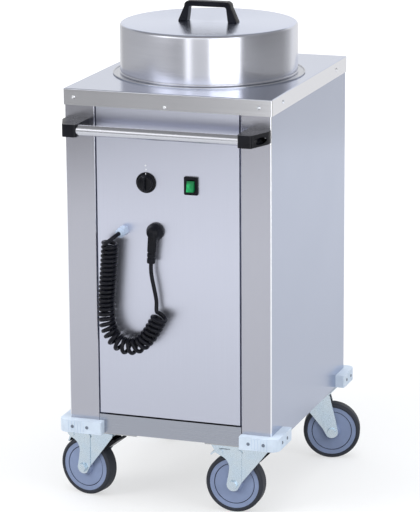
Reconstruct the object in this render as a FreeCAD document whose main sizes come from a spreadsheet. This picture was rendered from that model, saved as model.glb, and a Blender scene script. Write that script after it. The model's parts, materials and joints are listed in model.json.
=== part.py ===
import FreeCAD, Part
import math
import os
import Sketcher

# A heated plate dispenser cart: a sheet-steel cabinet on four swivel casters, with a lidded plate well
# in its top, a push bar, a thermostat knob, a rocker switch and a curly lead with an angled plug.
# Millimetres. X is to the right, -Y is the front with the controls, Z is up, and the floor is z = 0.

doc = FreeCAD.newDocument("PlateDispenserCart")
sheet = doc.addObject("Spreadsheet::Sheet", "Sizes")


class Size:
    """A number together with the expression that gives it from the sheet."""

    def __init__(self, value, text):
        self.value = float(value)
        self.text = text

    def __add__(self, other):
        other = as_size(other)
        return Size(self.value + other.value, "(%s + %s)" % (self.text, other.text))

    def __sub__(self, other):
        other = as_size(other)
        return Size(self.value - other.value, "(%s - %s)" % (self.text, other.text))

    def __mul__(self, other):
        other = as_size(other)
        return Size(self.value * other.value, "(%s * %s)" % (self.text, other.text))

    def __truediv__(self, other):
        other = as_size(other)
        return Size(self.value / other.value, "(%s / %s)" % (self.text, other.text))

    def __radd__(self, other):
        return as_size(other) + self

    def __rsub__(self, other):
        return as_size(other) - self

    def __rmul__(self, other):
        return as_size(other) * self

    def __neg__(self):
        return as_size(0) - self


def value_of(number):
    return as_size(number).value


def as_size(number):
    if isinstance(number, Size):
        return number
    return Size(number, "(%r)" % float(number))


def size(name, number):
    row = len(sizes) + 1
    sheet.set("A%d" % row, name)
    sheet.set("B%d" % row, str(number))
    sheet.setAlias("B%d" % row, name)
    sizes[name] = number
    return Size(number, "Sizes." + name)


sizes = {}

# ---- driving dimensions: cabinet ----
body_width = size("body_width", 443)
body_depth = size("body_depth", 526)
top_height = size("top_height", 892)
caster_height = size("caster_height", 160)
pad_thick = size("pad_thick", 3)
sheet_thick = size("sheet_thick", 1.2)
top_thick = size("top_thick", 1.5)
top_overhang = size("top_overhang", 2)
skirt_height = size("skirt_height", 34)
bend_radius = size("bend_radius", 2.5)
post_face = size("post_face", 65)
post_return = size("post_return", 16)
panel_lip = size("panel_lip", 14)
panel_gap = size("panel_gap", 3)
panel_recess = size("panel_recess", 0.8)
panel_top_gap = size("panel_top_gap", 6)
rail_height = size("rail_height", 41)
base_thick = size("base_thick", 2)
base_flange = size("base_flange", 38)
pad_size = size("pad_size", 146)
fit_gap = size("fit_gap", 0.3)

# ---- plate well ----
well_inner_r = size("well_inner_r", 170)
well_wall = size("well_wall", 1.2)
well_bottom = size("well_bottom", 230)
collar_r = size("collar_r", 202)
collar_thick = size("collar_thick", 1.3)
bead_height = size("bead_height", 3)
bead_width = size("bead_width", 3.2)
bead_round = size("bead_round", 1.2)
bead_gap = size("bead_gap", 0.9)
bead_fold = size("bead_fold", 1.6)
well_hole_gap = size("well_hole_gap", 1.5)
rod_r = size("rod_r", 5)
rod_circle_r = size("rod_circle_r", 156)
rod_bottom = size("rod_bottom", 240)
rod_top = size("rod_top", 888)
peg_r = size("peg_r", 3)
carrier_r = size("carrier_r", 145)
carrier_thick = size("carrier_thick", 2)
cage_height = size("cage_height", 160)
cage_band = size("cage_band", 8)
ear_r = size("ear_r", 9)
ear_thick = size("ear_thick", 6)
rod_clearance = size("rod_clearance", 0.4)
spring_r = size("spring_r", 5.5)
spring_circle_r = size("spring_circle_r", 161)
hook_height = size("hook_height", 880)
element_r = size("element_r", 110)
element_tube_r = size("element_tube_r", 4.2)
element_height = size("element_height", 252)
element_foot_r = size("element_foot_r", 4)

# ---- lid ----
lid_r = size("lid_r", 186.7)
lid_height = size("lid_height", 106.5)
lid_wall = size("lid_wall", 1.2)
lid_round = size("lid_round", 7)
hem_height = size("hem_height", 4)
hem_out = size("hem_out", 0.8)
grip_foot_half = size("grip_foot_half", 65)
grip_top_half = size("grip_top_half", 51)
grip_height = size("grip_height", 43)
grip_width = size("grip_width", 22)
grip_bar = size("grip_bar", 11)
grip_foot_in = size("grip_foot_in", 45)
grip_top_in = size("grip_top_in", 41)
grip_round = size("grip_round", 12)
grip_screw_x = size("grip_screw_x", 55)
grip_screw_r = size("grip_screw_r", 2.5)
washer_r = size("washer_r", 7)

# ---- push bar ----
bar_r = size("bar_r", 11)
bar_drop = size("bar_drop", 74)
bar_standoff = size("bar_standoff", 54)
bracket_inner = size("bracket_inner", 171)
bracket_width = size("bracket_width", 32)
bracket_height = size("bracket_height", 26)
bracket_reach = size("bracket_reach", 68)
bracket_round = size("bracket_round", 7)
foot_width = size("foot_width", 49.5)
foot_thick = size("foot_thick", 16)
foot_floor = size("foot_floor", 4)
bar_insert = size("bar_insert", 20)
bracket_screw_x = size("bracket_screw_x", 211.5)
bracket_screw_drop = size("bracket_screw_drop", 2)
bracket_recess_r = size("bracket_recess_r", 7.2)

# ---- screws ----
screw_head_r = size("screw_head_r", 4)
screw_head = size("screw_head", 2)
screw_r = size("screw_r", 2)
screw_length = size("screw_length", 8)
skirt_screw_x = size("skirt_screw_x", 201)
skirt_screw_y = size("skirt_screw_y", 190)

# ---- controls ----
control_drop = size("control_drop", 186)
knob_x = size("knob_x", -46)
knob_r = size("knob_r", 20)
knob_skirt_r = size("knob_skirt_r", 21.5)
knob_depth = size("knob_depth", 20)
knob_ridge = size("knob_ridge", 7)
spindle_r = size("spindle_r", 3)
thermostat_side = size("thermostat_side", 44)
thermostat_depth = size("thermostat_depth", 30)
switch_x = size("switch_x", 51.5)
bezel_width = size("bezel_width", 30)
bezel_height = size("bezel_height", 38)
bezel_thick = size("bezel_thick", 4)
cutout_width = size("cutout_width", 24)
cutout_height = size("cutout_height", 31)
switch_depth = size("switch_depth", 28)
rocker_width = size("rocker_width", 14)
rocker_height = size("rocker_height", 20)
rocker_out = size("rocker_out", 8)
rocker_pin_r = size("rocker_pin_r", 1.5)

# ---- lead ----
wire_r = size("wire_r", 4.2)
gland_x = size("gland_x", -95.5)
gland_drop = size("gland_drop", 103.5)
gland_flats = size("gland_flats", 19)
gland_turn = size("gland_turn", 47)
gland_body_out = size("gland_body_out", 9)
gland_nut_out = size("gland_nut_out", 24)
gland_tip_r = size("gland_tip_r", 7.2)
gland_thread_r = size("gland_thread_r", 8)
gland_locknut = size("gland_locknut", 5)
plug_x = size("plug_x", -26.5)
plug_drop = size("plug_drop", 101)
plug_face_r = size("plug_face_r", 18.5)
plug_back_r = size("plug_back_r", 15)
plug_depth = size("plug_depth", 28)
plug_neck_r = size("plug_neck_r", 9.6)
plug_axis_out = size("plug_axis_out", 17)
plug_relief_r = size("plug_relief_r", 8.8)
plug_length = size("plug_length", 63)
plug_groove_high = size("plug_groove_high", 40.7)
plug_groove_low = size("plug_groove_low", 50.5)
plug_groove_width = size("plug_groove_width", 1.5)
plug_tilt = size("plug_tilt", 4.5)
pin_circle = size("pin_circle", 9.5)
pin_r = size("pin_r", 2.4)
pin_length = size("pin_length", 19)
holder_r = size("holder_r", 17)
holder_flange = size("holder_flange", 2)
curl_r = size("curl_r", 13.7)
curl_pitch = size("curl_pitch", 9.4)
curl_pitch_inside = size("curl_pitch_inside", 9.2)
curl_out = size("curl_out", 27)
curl_start_left = size("curl_start_left", 20.9)
curl_start_down = size("curl_start_down", 21.5)
curl_heading = size("curl_heading", -94.1)
curl_straight = size("curl_straight", 140.4)
curl_start_phase = size("curl_start_phase", -30)
curl_end_phase = size("curl_end_phase", 100)

# ---- corner bumpers ----
bumper_thick = size("bumper_thick", 20)
bumper_height = size("bumper_height", 27)
bumper_long = size("bumper_long", 96)
bumper_short = size("bumper_short", 85)
bumper_round = size("bumper_round", 19)
bumper_end_round = size("bumper_end_round", 3)
rib_start = size("rib_start", 23)
rib_pitch = size("rib_pitch", 6.5)
rib_width = size("rib_width", 1.6)
rib_depth = size("rib_depth", 0.9)
bumper_screw_near = size("bumper_screw_near", 31.5)
bumper_screw_far = size("bumper_screw_far", 64)

# ---- casters ----
wheel_r = size("wheel_r", 62.5)
wheel_width = size("wheel_width", 32)
rim_r = size("rim_r", 53.5)
groove_r = size("groove_r", 43.5)
hub_r = size("hub_r", 17)
axle_r = size("axle_r", 6)
swivel_inset_x = size("swivel_inset_x", 53.7)
swivel_inset_y = size("swivel_inset_y", 66)
trail = size("trail", 44.7)
turn_front_left = size("turn_front_left", -13.4)
turn_front_right = size("turn_front_right", 0.9)
turn_rear_right = size("turn_rear_right", 194.8)
turn_rear_left = size("turn_rear_left", -80)
plate_long = size("plate_long", 105)
plate_short = size("plate_short", 85)
plate_thick = size("plate_thick", 3)
bolt_long = size("bolt_long", 80)
bolt_short = size("bolt_short", 60)
bolt_r = size("bolt_r", 4)
bolt_head_r = size("bolt_head_r", 7)
bolt_head = size("bolt_head", 5.2)
race_r = size("race_r", 33)
race_height = size("race_height", 7)
kingpin_r = size("kingpin_r", 6)
kingpin_head_r = size("kingpin_head_r", 10.5)
fork_inner = size("fork_inner", 20)
fork_thick = size("fork_thick", 3.5)
fork_step = size("fork_step", 1.4)
fork_top = size("fork_top", 146.5)
boss_r = size("boss_r", 14)
rivet_r = size("rivet_r", 3.5)
rivet_head_r = size("rivet_head_r", 5.5)
rivet_head = size("rivet_head", 1.6)
shoe_pivot_x = size("shoe_pivot_x", -72)
shoe_pivot_z = size("shoe_pivot_z", 132)
pedal_pivot_x = size("pedal_pivot_x", -30)
pedal_pivot_z = size("pedal_pivot_z", 134)
pedal_travel = size("pedal_travel", 8)
shoe_travel = size("shoe_travel", 30)
shoe_half = size("shoe_half", 14)
pedal_half = size("pedal_half", 16.5)
pivot_gap = size("pivot_gap", 0.08)

doc.recompute()

# ---- derived levels ----
body_bottom = caster_height + pad_thick
top_under = top_height - top_thick
half_width = body_width / 2
half_depth = body_depth / 2
panel_face = panel_recess - half_depth
panel_half = half_width - post_face - panel_gap
rail_top = body_bottom + rail_height
panel_bottom = rail_top + panel_gap
panel_top = top_under - panel_top_gap
bar_height = top_height - bar_drop
bracket_screw_z = bar_height - bracket_screw_drop
control_height = top_height - control_drop
gland_height = control_height - gland_drop
plug_height = control_height - plug_drop
swivel_x = half_width - swivel_inset_x
swivel_y = half_depth - swivel_inset_y
carrier_top = rod_top - 2 - peg_r * 2 - fit_gap
lip_front = post_return - half_depth
lid_seat = top_height + collar_thick
lid_top = lid_seat + lid_height - collar_thick

nodes = []


# ---- drawing helpers ----
def bind(thing, prop, number):
    thing.setExpression(prop, as_size(number).text)


def new_body(name):
    body = doc.addObject("PartDesign::Body", name)
    body.Label = name
    return body


def keep(thing, name):
    thing.Label = name
    nodes.append(thing)
    return thing


def origin_plane(body, role):
    for feature in body.Origin.OriginFeatures:
        if feature.Role == role:
            return feature
    raise ValueError(role)


def new_sketch(body, plane, along=0, right=0, up=0, turn=0):
    """A sketch parallel to an origin plane: along is its place on the plane's own normal."""
    sketch = body.newObject("Sketcher::SketchObject", body.Name + "_sketch")
    sketch.AttachmentSupport = (origin_plane(body, plane + "_Plane"), "")
    sketch.MapMode = "FlatFace"
    start = FreeCAD.Vector(as_size(right).value, as_size(up).value, as_size(along).value)
    sketch.AttachmentOffset = FreeCAD.Placement(start, FreeCAD.Rotation(0, 0, 0))
    bind(sketch, "AttachmentOffset.Base.x", right)
    bind(sketch, "AttachmentOffset.Base.y", up)
    bind(sketch, "AttachmentOffset.Base.z", along)
    if as_size(turn).value != 0:
        bind(sketch, "AttachmentOffset.Rotation.Angle", turn)
    return sketch


def fix_point(sketch, shape, end, x, y):
    for kind, axis, number in (("DistanceX", -2, as_size(x)), ("DistanceY", -1, as_size(y))):
        if number.value == 0:
            sketch.addConstraint(Sketcher.Constraint("PointOnObject", shape, end, axis))
        else:
            index = sketch.addConstraint(Sketcher.Constraint(kind, shape, end, number.value))
            sketch.setExpression("Constraints[%d]" % index, number.text)


def arc_between(start, finish, radius, turn):
    """The short arc from start to finish; turn is 1 for anticlockwise and -1 for clockwise."""
    chord = finish - start
    middle = (start + finish) / 2
    rise = math.sqrt(max(radius * radius - chord.Length * chord.Length / 4, 0))
    side = FreeCAD.Vector(-chord.y, chord.x, 0).normalize() * turn
    centre = middle + side * rise
    first, last = (start, finish) if turn > 0 else (finish, start)
    angle_first = math.atan2(first.y - centre.y, first.x - centre.x)
    angle_last = math.atan2(last.y - centre.y, last.x - centre.x)
    if angle_last < angle_first:
        angle_last += 2 * math.pi
    circle = Part.Circle(centre, FreeCAD.Vector(0, 0, 1), radius)
    return Part.ArcOfCircle(circle, angle_first, angle_last)


def draw(sketch, corners):
    """A closed outline. A corner is (x, y), or (x, y, radius, turn) where an arc leaves it."""
    count = len(corners)
    ends = []
    for number, corner in enumerate(corners):
        following = corners[(number + 1) % count]
        start = FreeCAD.Vector(as_size(corner[0]).value, as_size(corner[1]).value, 0)
        finish = FreeCAD.Vector(as_size(following[0]).value, as_size(following[1]).value, 0)
        if len(corner) == 2:
            shape = sketch.addGeometry(Part.LineSegment(start, finish), False)
            ends.append((shape, 1, 2))
        else:
            radius = as_size(corner[2])
            arc = arc_between(start, finish, radius.value, corner[3])
            shape = sketch.addGeometry(arc, False)
            index = sketch.addConstraint(Sketcher.Constraint("Radius", shape, radius.value))
            sketch.setExpression("Constraints[%d]" % index, radius.text)
            ends.append((shape, 1, 2) if corner[3] > 0 else (shape, 2, 1))
    for number, corner in enumerate(corners):
        shape, first, last = ends[number]
        following = ends[(number + 1) % count]
        sketch.addConstraint(Sketcher.Constraint("Coincident", shape, last, following[0], following[1]))
        fix_point(sketch, shape, first, corner[0], corner[1])


def draw_circle(sketch, x, y, radius):
    centre = FreeCAD.Vector(as_size(x).value, as_size(y).value, 0)
    circle = Part.Circle(centre, FreeCAD.Vector(0, 0, 1), as_size(radius).value)
    shape = sketch.addGeometry(circle, False)
    index = sketch.addConstraint(Sketcher.Constraint("Radius", shape, as_size(radius).value))
    sketch.setExpression("Constraints[%d]" % index, as_size(radius).text)
    fix_point(sketch, shape, 3, x, y)


def rectangle(x_low, y_low, x_high, y_high):
    return [(x_low, y_low), (x_high, y_low), (x_high, y_high), (x_low, y_high)]


def round_rectangle(x_low, y_low, x_high, y_high, radius):
    return [(x_low + radius, y_low), (x_high - radius, y_low, radius, 1),
            (x_high, y_low + radius), (x_high, y_high - radius, radius, 1),
            (x_high - radius, y_high), (x_low + radius, y_high, radius, 1),
            (x_low, y_high - radius), (x_low, y_low + radius, radius, 1)]


def fill(sketch, outlines):
    for outline in outlines:
        if isinstance(outline, tuple):
            draw_circle(sketch, *outline)
        else:
            draw(sketch, outline)


# A sketch on the XZ plane looks along -Y, so its own height is -y.
def pad(body, plane, low, high, *outlines, **place):
    low, high = as_size(low), as_size(high)
    along = -high if plane == "XZ" else low
    sketch = new_sketch(body, plane, along, **place)
    fill(sketch, outlines)
    feature = body.newObject("PartDesign::Pad", body.Name + "_pad")
    feature.Profile = sketch
    bind(feature, "Length", high - low)
    return feature


def pocket(body, plane, low, high, *outlines, **place):
    low, high = as_size(low), as_size(high)
    along = -low if plane == "XZ" else high
    sketch = new_sketch(body, plane, along, **place)
    fill(sketch, outlines)
    feature = body.newObject("PartDesign::Pocket", body.Name + "_pocket")
    feature.Profile = sketch
    bind(feature, "Length", high - low)
    return feature


def revolve(body, plane, axis, *outlines, **place):
    sketch = new_sketch(body, plane, **place)
    fill(sketch, outlines)
    feature = body.newObject("PartDesign::Revolution", body.Name + "_turned")
    feature.Profile = sketch
    feature.ReferenceAxis = (sketch, [axis])
    feature.Angle = 360
    return feature


def place(thing, x=0, y=0, z=0, turn=0):
    bind(thing, "Placement.Base.x", x)
    bind(thing, "Placement.Base.y", y)
    bind(thing, "Placement.Base.z", z)
    if as_size(turn).value != 0:
        bind(thing, "Placement.Rotation.Angle", turn)


def turned_to(axis):
    z_axis = FreeCAD.Vector(0, 0, 1)
    return FreeCAD.Rotation(z_axis, FreeCAD.Vector(*axis))


def cylinder(name, radius, length, x, y, z, axis=(0, 0, 1)):
    thing = doc.addObject("Part::Cylinder", name)
    thing.Placement = FreeCAD.Placement(FreeCAD.Vector(0, 0, 0), turned_to(axis))
    bind(thing, "Radius", radius)
    bind(thing, "Height", length)
    bind(thing, "Placement.Base.x", x)
    bind(thing, "Placement.Base.y", y)
    bind(thing, "Placement.Base.z", z)
    return thing


def hexagon(name, flats, length, x, y, z, axis=(0, 0, 1), turn=0):
    thing = doc.addObject("Part::Prism", name)
    thing.Polygon = 6
    about = FreeCAD.Rotation(FreeCAD.Vector(0, 0, 1), turn)
    thing.Placement = FreeCAD.Placement(FreeCAD.Vector(0, 0, 0), turned_to(axis).multiply(about))
    bind(thing, "Circumradius", flats * (1 / math.sqrt(3)))
    bind(thing, "Height", length)
    bind(thing, "Placement.Base.x", x)
    bind(thing, "Placement.Base.y", y)
    bind(thing, "Placement.Base.z", z)
    return thing


def cone(name, radius_low, radius_high, length, x, y, z, axis=(0, 0, 1)):
    thing = doc.addObject("Part::Cone", name)
    thing.Placement = FreeCAD.Placement(FreeCAD.Vector(0, 0, 0), turned_to(axis))
    bind(thing, "Radius1", radius_low)
    bind(thing, "Radius2", radius_high)
    bind(thing, "Height", length)
    bind(thing, "Placement.Base.x", x)
    bind(thing, "Placement.Base.y", y)
    bind(thing, "Placement.Base.z", z)
    return thing


def box(name, x_low, y_low, z_low, x_high, y_high, z_high):
    thing = doc.addObject("Part::Box", name)
    bind(thing, "Length", x_high - as_size(x_low))
    bind(thing, "Width", y_high - as_size(y_low))
    bind(thing, "Height", z_high - as_size(z_low))
    bind(thing, "Placement.Base.x", x_low)
    bind(thing, "Placement.Base.y", y_low)
    bind(thing, "Placement.Base.z", z_low)
    return thing


def fuse(name, things):
    joined = doc.addObject("Part::MultiFuse", name)
    joined.Shapes = things
    joined.Refine = True
    return joined


def cut(name, base, tool):
    result = doc.addObject("Part::Cut", name)
    result.Base = base
    result.Tool = tool
    return result


def group(name, things):
    compound = doc.addObject("Part::Compound", name)
    compound.Links = things
    return compound


# ---- cabinet ----
def skirt_screws_front():
    """Places of the skirt's screws across the front, the same at the rear."""
    level = top_height - skirt_height / 2
    return [(-skirt_screw_x, level), (as_size(-4), level - 10), (skirt_screw_x - 5, level)]


def skirt_screws_side():
    level = top_height - skirt_height / 2
    return [(-skirt_screw_y, level), (skirt_screw_y - 3, level)]


def side_panel(name, side):
    """One sheet: the side, and at the front and the rear a post face, its return and a lip."""
    body = new_body(name)
    wall = side * half_width
    inner_wall = side * (half_width - sheet_thick)
    post = side * (half_width - post_face)
    post_inner = side * (half_width - post_face + sheet_thick)
    lip = side * (half_width - post_face - panel_lip)
    corner = side * (half_width - bend_radius)
    post_corner = side * (half_width - post_face + bend_radius)
    near = -half_depth
    far = half_depth
    lip_back = lip_front + sheet_thick
    turn = side
    outline = [
        (corner, near, bend_radius, turn),
        (wall, near + bend_radius), (wall, far - bend_radius, bend_radius, turn),
        (corner, far), (post_corner, far, bend_radius, turn),
        (post, far - bend_radius), (post, -lip_front), (lip, -lip_front), (lip, -lip_back),
        (post_inner, -lip_back), (post_inner, far - sheet_thick), (inner_wall, far - sheet_thick),
        (inner_wall, near + sheet_thick), (post_inner, near + sheet_thick), (post_inner, lip_back),
        (lip, lip_back), (lip, lip_front), (post, lip_front),
        (post, near + bend_radius, bend_radius, turn), (post_corner, near)]
    pad(body, "XY", body_bottom, top_under, outline)
    posts = [(x, z, screw_r + fit_gap) for x, z in skirt_screws_front() if x.value * side > 100]
    sides = [(y, z, screw_r + fit_gap) for y, z in skirt_screws_side()]
    pocket(body, "XZ", near, far, *posts)
    pocket(body, "XZ", near, 0, (side * bracket_screw_x, bracket_screw_z, screw_r + fit_gap))
    pocket(body, "YZ", min(wall, inner_wall, key=value_of), max(wall, inner_wall, key=value_of), *sides)
    return keep(body, name)


def front_panel():
    """The tray between the posts, with its edges folded back to the lips."""
    body = new_body("front_panel")
    pad(body, "XZ", panel_face, lip_front, rectangle(-panel_half, panel_bottom, panel_half, panel_top))
    inner = panel_half - sheet_thick
    pocket(body, "XZ", panel_face + sheet_thick, lip_front,
           rectangle(-inner, panel_bottom + sheet_thick, inner, panel_top - sheet_thick))
    back = panel_face + sheet_thick
    middle_screw = skirt_screws_front()[1]
    pocket(body, "XZ", panel_face, back, middle_screw + (screw_r + fit_gap,))
    pocket(body, "XZ", panel_face, back, (knob_x, control_height, spindle_r + 1),
           (gland_x, gland_height, gland_thread_r + fit_gap), (plug_x, plug_height, holder_r - 2 + fit_gap),
           rectangle(switch_x - cutout_width / 2, control_height - cutout_height / 2,
                     switch_x + cutout_width / 2, control_height + cutout_height / 2))
    return keep(body, "front_panel")


def bottom_rail():
    """The rail under the front panel, folded back at its four edges."""
    body = new_body("bottom_rail")
    half = half_width - post_face - fit_gap
    pad(body, "XZ", -half_depth, lip_front, rectangle(-half, body_bottom, half, rail_top))
    pocket(body, "XZ", sheet_thick - half_depth, lip_front,
           rectangle(sheet_thick - half, body_bottom + sheet_thick, half - sheet_thick, rail_top - sheet_thick))
    return keep(body, "bottom_rail")


def rear_panel():
    body = new_body("rear_panel")
    pad(body, "XZ", -lip_front, -panel_face, rectangle(-panel_half, body_bottom, panel_half, panel_top))
    inner = panel_half - sheet_thick
    pocket(body, "XZ", -lip_front, -panel_face - sheet_thick,
           rectangle(-inner, body_bottom + sheet_thick, inner, panel_top - sheet_thick))
    middle_screw = skirt_screws_front()[1]
    pocket(body, "XZ", -panel_face - sheet_thick, -panel_face, middle_screw + (screw_r + fit_gap,))
    return keep(body, "rear_panel")


def base_plate():
    """The floor of the cabinet: a tray between the panels, with a pad under each corner."""
    body = new_body("base_plate")
    half_x = half_width - sheet_thick - fit_gap
    half_y = -lip_front - sheet_thick - fit_gap
    pad(body, "XY", body_bottom, body_bottom + base_flange, rectangle(-half_x, -half_y, half_x, half_y))
    pocket(body, "XY", body_bottom + base_thick, body_bottom + base_flange,
           rectangle(base_thick - half_x, base_thick - half_y, half_x - base_thick, half_y - base_thick))
    for x_side in (-1, 1):
        for y_side in (-1, 1):
            outer_x, outer_y = x_side * (half_width - top_overhang), y_side * (half_depth - top_overhang)
            inner_x = x_side * (half_width - pad_size)
            inner_y = y_side * (half_depth - pad_size)
            corners = [(outer_x, outer_y), (inner_x, outer_y), (inner_x, inner_y), (outer_x, inner_y)]
            pad(body, "XY", caster_height, body_bottom, corners)
            for bolt_x, bolt_y in bolt_places():
                centre = (x_side * swivel_x + bolt_x, y_side * swivel_y + bolt_y, bolt_r + fit_gap)
                pocket(body, "XY", caster_height, body_bottom + base_thick, centre)
    return keep(body, "base_plate")


def bolt_places():
    return [(x_side * bolt_long / 2, y_side * bolt_short / 2) for x_side in (-1, 1) for y_side in (-1, 1)]


def top_plate():
    """The top with its turned-down skirt and the hole of the plate well."""
    body = new_body("top_plate")
    half_x = half_width + top_overhang
    half_y = half_depth + top_overhang
    inner_x = half_x - top_thick
    inner_y = half_y - top_thick
    skirt_bottom = top_height - skirt_height
    pad(body, "XY", skirt_bottom, top_height, round_rectangle(-half_x, -half_y, half_x, half_y, bend_radius))
    pocket(body, "XY", skirt_bottom, top_under, rectangle(-inner_x, -inner_y, inner_x, inner_y))
    pocket(body, "XY", top_under, top_height, (0, 0, well_inner_r + well_wall + well_hole_gap))
    fronts = [(x, z, screw_r + fit_gap) for x, z in skirt_screws_front()]
    sides = [(y, z, screw_r + fit_gap) for y, z in skirt_screws_side()]
    pocket(body, "XZ", -half_y, half_y, *fronts)
    pocket(body, "YZ", -half_x, half_x, *sides)
    doc.recompute()
    rim = [index for index, edge in enumerate(body.Shape.Edges, 1)
           if edge.BoundBox.ZMin > top_height.value - 0.01 and edge.BoundBox.XMax > half_x.value * 0.9]
    rim += [index for index, edge in enumerate(body.Shape.Edges, 1)
            if edge.BoundBox.ZMin > top_height.value - 0.01 and edge.BoundBox.XMin < -half_x.value * 0.9
            and index not in rim]
    solid = body.Tip
    fillet = body.newObject("PartDesign::Fillet", "top_plate_edge")
    fillet.Base = (solid, ["Edge%d" % index for index in rim])
    bind(fillet, "Radius", bend_radius * 0.8)
    return keep(body, "top_plate")


# ---- plate well ----
def plate_tube():
    """The plate well, whose flat collar ends in a rolled bead, a little off the top at its edge."""
    body = new_body("plate_tube")
    outer = well_inner_r + well_wall
    bead_top = top_height + bead_height
    bead_inner = collar_r - bead_width
    outline = [(well_inner_r, well_bottom), (outer, well_bottom), (outer, top_height),
               (collar_r - bead_fold, top_height), (collar_r - bead_fold, top_height + bead_gap),
               (collar_r, top_height + bead_gap), (collar_r, bead_top - bead_round, bead_round, 1),
               (collar_r - bead_round, bead_top), (bead_inner + bead_round, bead_top, bead_round, 1),
               (bead_inner, bead_top - bead_round), (bead_inner, lid_seat), (well_inner_r, lid_seat)]
    revolve(body, "XZ", "V_Axis", outline)
    return keep(body, "plate_tube")


def around(count, first=0):
    """Even angles, in degrees, for what repeats around the well."""
    return [first + 360 * number / count for number in range(count)]


def on_circle(radius, degrees):
    return (radius * math.cos(math.radians(degrees)), radius * math.sin(math.radians(degrees)))


def guide_rods():
    rods = []
    for number, degrees in enumerate(around(3, 90)):
        x, y = on_circle(rod_circle_r, degrees)
        out = (math.cos(math.radians(degrees)), math.sin(math.radians(degrees)), 0)
        rod = cylinder("rod_%d" % number, rod_r, rod_top - rod_bottom, x, y, rod_bottom)
        reach = well_inner_r - rod_circle_r - fit_gap
        low_peg = cylinder("low_peg_%d" % number, peg_r, reach, x, y, rod_bottom + peg_r + 2, out)
        high_peg = cylinder("high_peg_%d" % number, peg_r, reach, x, y, rod_top - peg_r - 2, out)
        rods.append(fuse("guide_rod_%d" % number, [rod, low_peg, high_peg]))
    return keep(group("guide_rods", rods), "guide_rods")


def carrier_level():
    return carrier_top - carrier_thick


def plate_carrier():
    """The platform under the plates, with the cage that slides on the rods and holds the springs."""
    low = carrier_top - cage_height
    pieces = [cylinder("carrier_disc", carrier_r, carrier_thick, 0, 0, carrier_level())]
    ring = cylinder("carrier_ring", carrier_r, cage_band, 0, 0, low)
    ring_hole = cylinder("carrier_ring_hole", carrier_r - 12, cage_band, 0, 0, low)
    pieces.append(cut("carrier_band", ring, ring_hole))
    holes = []
    for number, degrees in enumerate(around(3, 90)):
        x, y = on_circle(rod_circle_r, degrees)
        for level, height in (("low", low), ("high", carrier_top - ear_thick)):
            arm = doc.addObject("Part::Box", "carrier_%s_arm_%d" % (level, number))
            arm_turn(arm, degrees, carrier_r - 10, rod_circle_r - carrier_r + 10, ear_r * 2, height, ear_thick)
            pieces.append(arm)
            pieces.append(cylinder("carrier_%s_ear_%d" % (level, number), ear_r, ear_thick, x, y, height))
            holes.append(cylinder("carrier_%s_hole_%d" % (level, number), rod_r + rod_clearance,
                                  ear_thick, x, y, height))
        strut_x, strut_y = on_circle(carrier_r - 6, degrees + 30)
        pieces.append(cylinder("carrier_strut_%d" % number, 4, cage_height - carrier_thick,
                               strut_x, strut_y, low))
        hook = doc.addObject("Part::Box", "carrier_hook_%d" % number)
        arm_turn(hook, degrees + 60, carrier_r - 10, spring_circle_r - carrier_r + 14, 10, low, 3)
        pieces.append(hook)
    solid = fuse("carrier_solid", pieces)
    bores = fuse("carrier_bores", holes)
    return keep(cut("plate_carrier", solid, bores), "plate_carrier")


def arm_turn(thing, degrees, start, length, width, height, thick):
    """A flat bar that points away from the well's axis."""
    thing.Placement = FreeCAD.Placement(FreeCAD.Vector(0, 0, 0), FreeCAD.Rotation(degrees, 0, 0))
    bind(thing, "Length", length)
    bind(thing, "Width", width)
    bind(thing, "Height", thick)
    x, y = on_circle(start, degrees)
    side_x, side_y = on_circle(as_size(width) / 2, degrees - 90)
    bind(thing, "Placement.Base.x", x + side_x)
    bind(thing, "Placement.Base.y", y + side_y)
    bind(thing, "Placement.Base.z", height)


def carrier_springs():
    springs = []
    low = carrier_top - cage_height + 3
    for number, degrees in enumerate(around(3, 150)):
        x, y = on_circle(spring_circle_r, degrees)
        springs.append(cylinder("spring_%d" % number, spring_r, hook_height - low, x, y, low))
    return keep(group("carrier_springs", springs), "carrier_springs")


def heating_element():
    ring = doc.addObject("Part::Torus", "element_ring")
    bind(ring, "Radius1", element_r)
    bind(ring, "Radius2", element_tube_r)
    bind(ring, "Placement.Base.z", element_height)
    pieces = [ring]
    floor = body_bottom + base_thick
    for number, degrees in enumerate(around(3, 30)):
        x, y = on_circle(element_r, degrees)
        pieces.append(cylinder("element_foot_%d" % number, element_foot_r, element_height - floor, x, y, floor))
    return keep(fuse("heating_element", pieces), "heating_element")


# ---- lid ----
def lid():
    body = new_body("lid")
    low = lid_seat + fit_gap
    inner = lid_r - lid_wall
    round_in = lid_round - lid_wall
    outline = [(inner, low), (lid_r + hem_out, low), (lid_r + hem_out, low + hem_height),
               (lid_r, low + hem_height), (lid_r, lid_top - lid_round, lid_round, 1),
               (lid_r - lid_round, lid_top), (0, lid_top), (0, lid_top - lid_wall),
               (lid_r - lid_round, lid_top - lid_wall, round_in, -1), (inner, lid_top - lid_round)]
    revolve(body, "XZ", "V_Axis", outline)
    pocket(body, "XY", lid_top - lid_wall, lid_top, (grip_screw_x, 0, grip_screw_r + fit_gap),
           (-grip_screw_x, 0, grip_screw_r + fit_gap))
    return keep(body, "lid")


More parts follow.
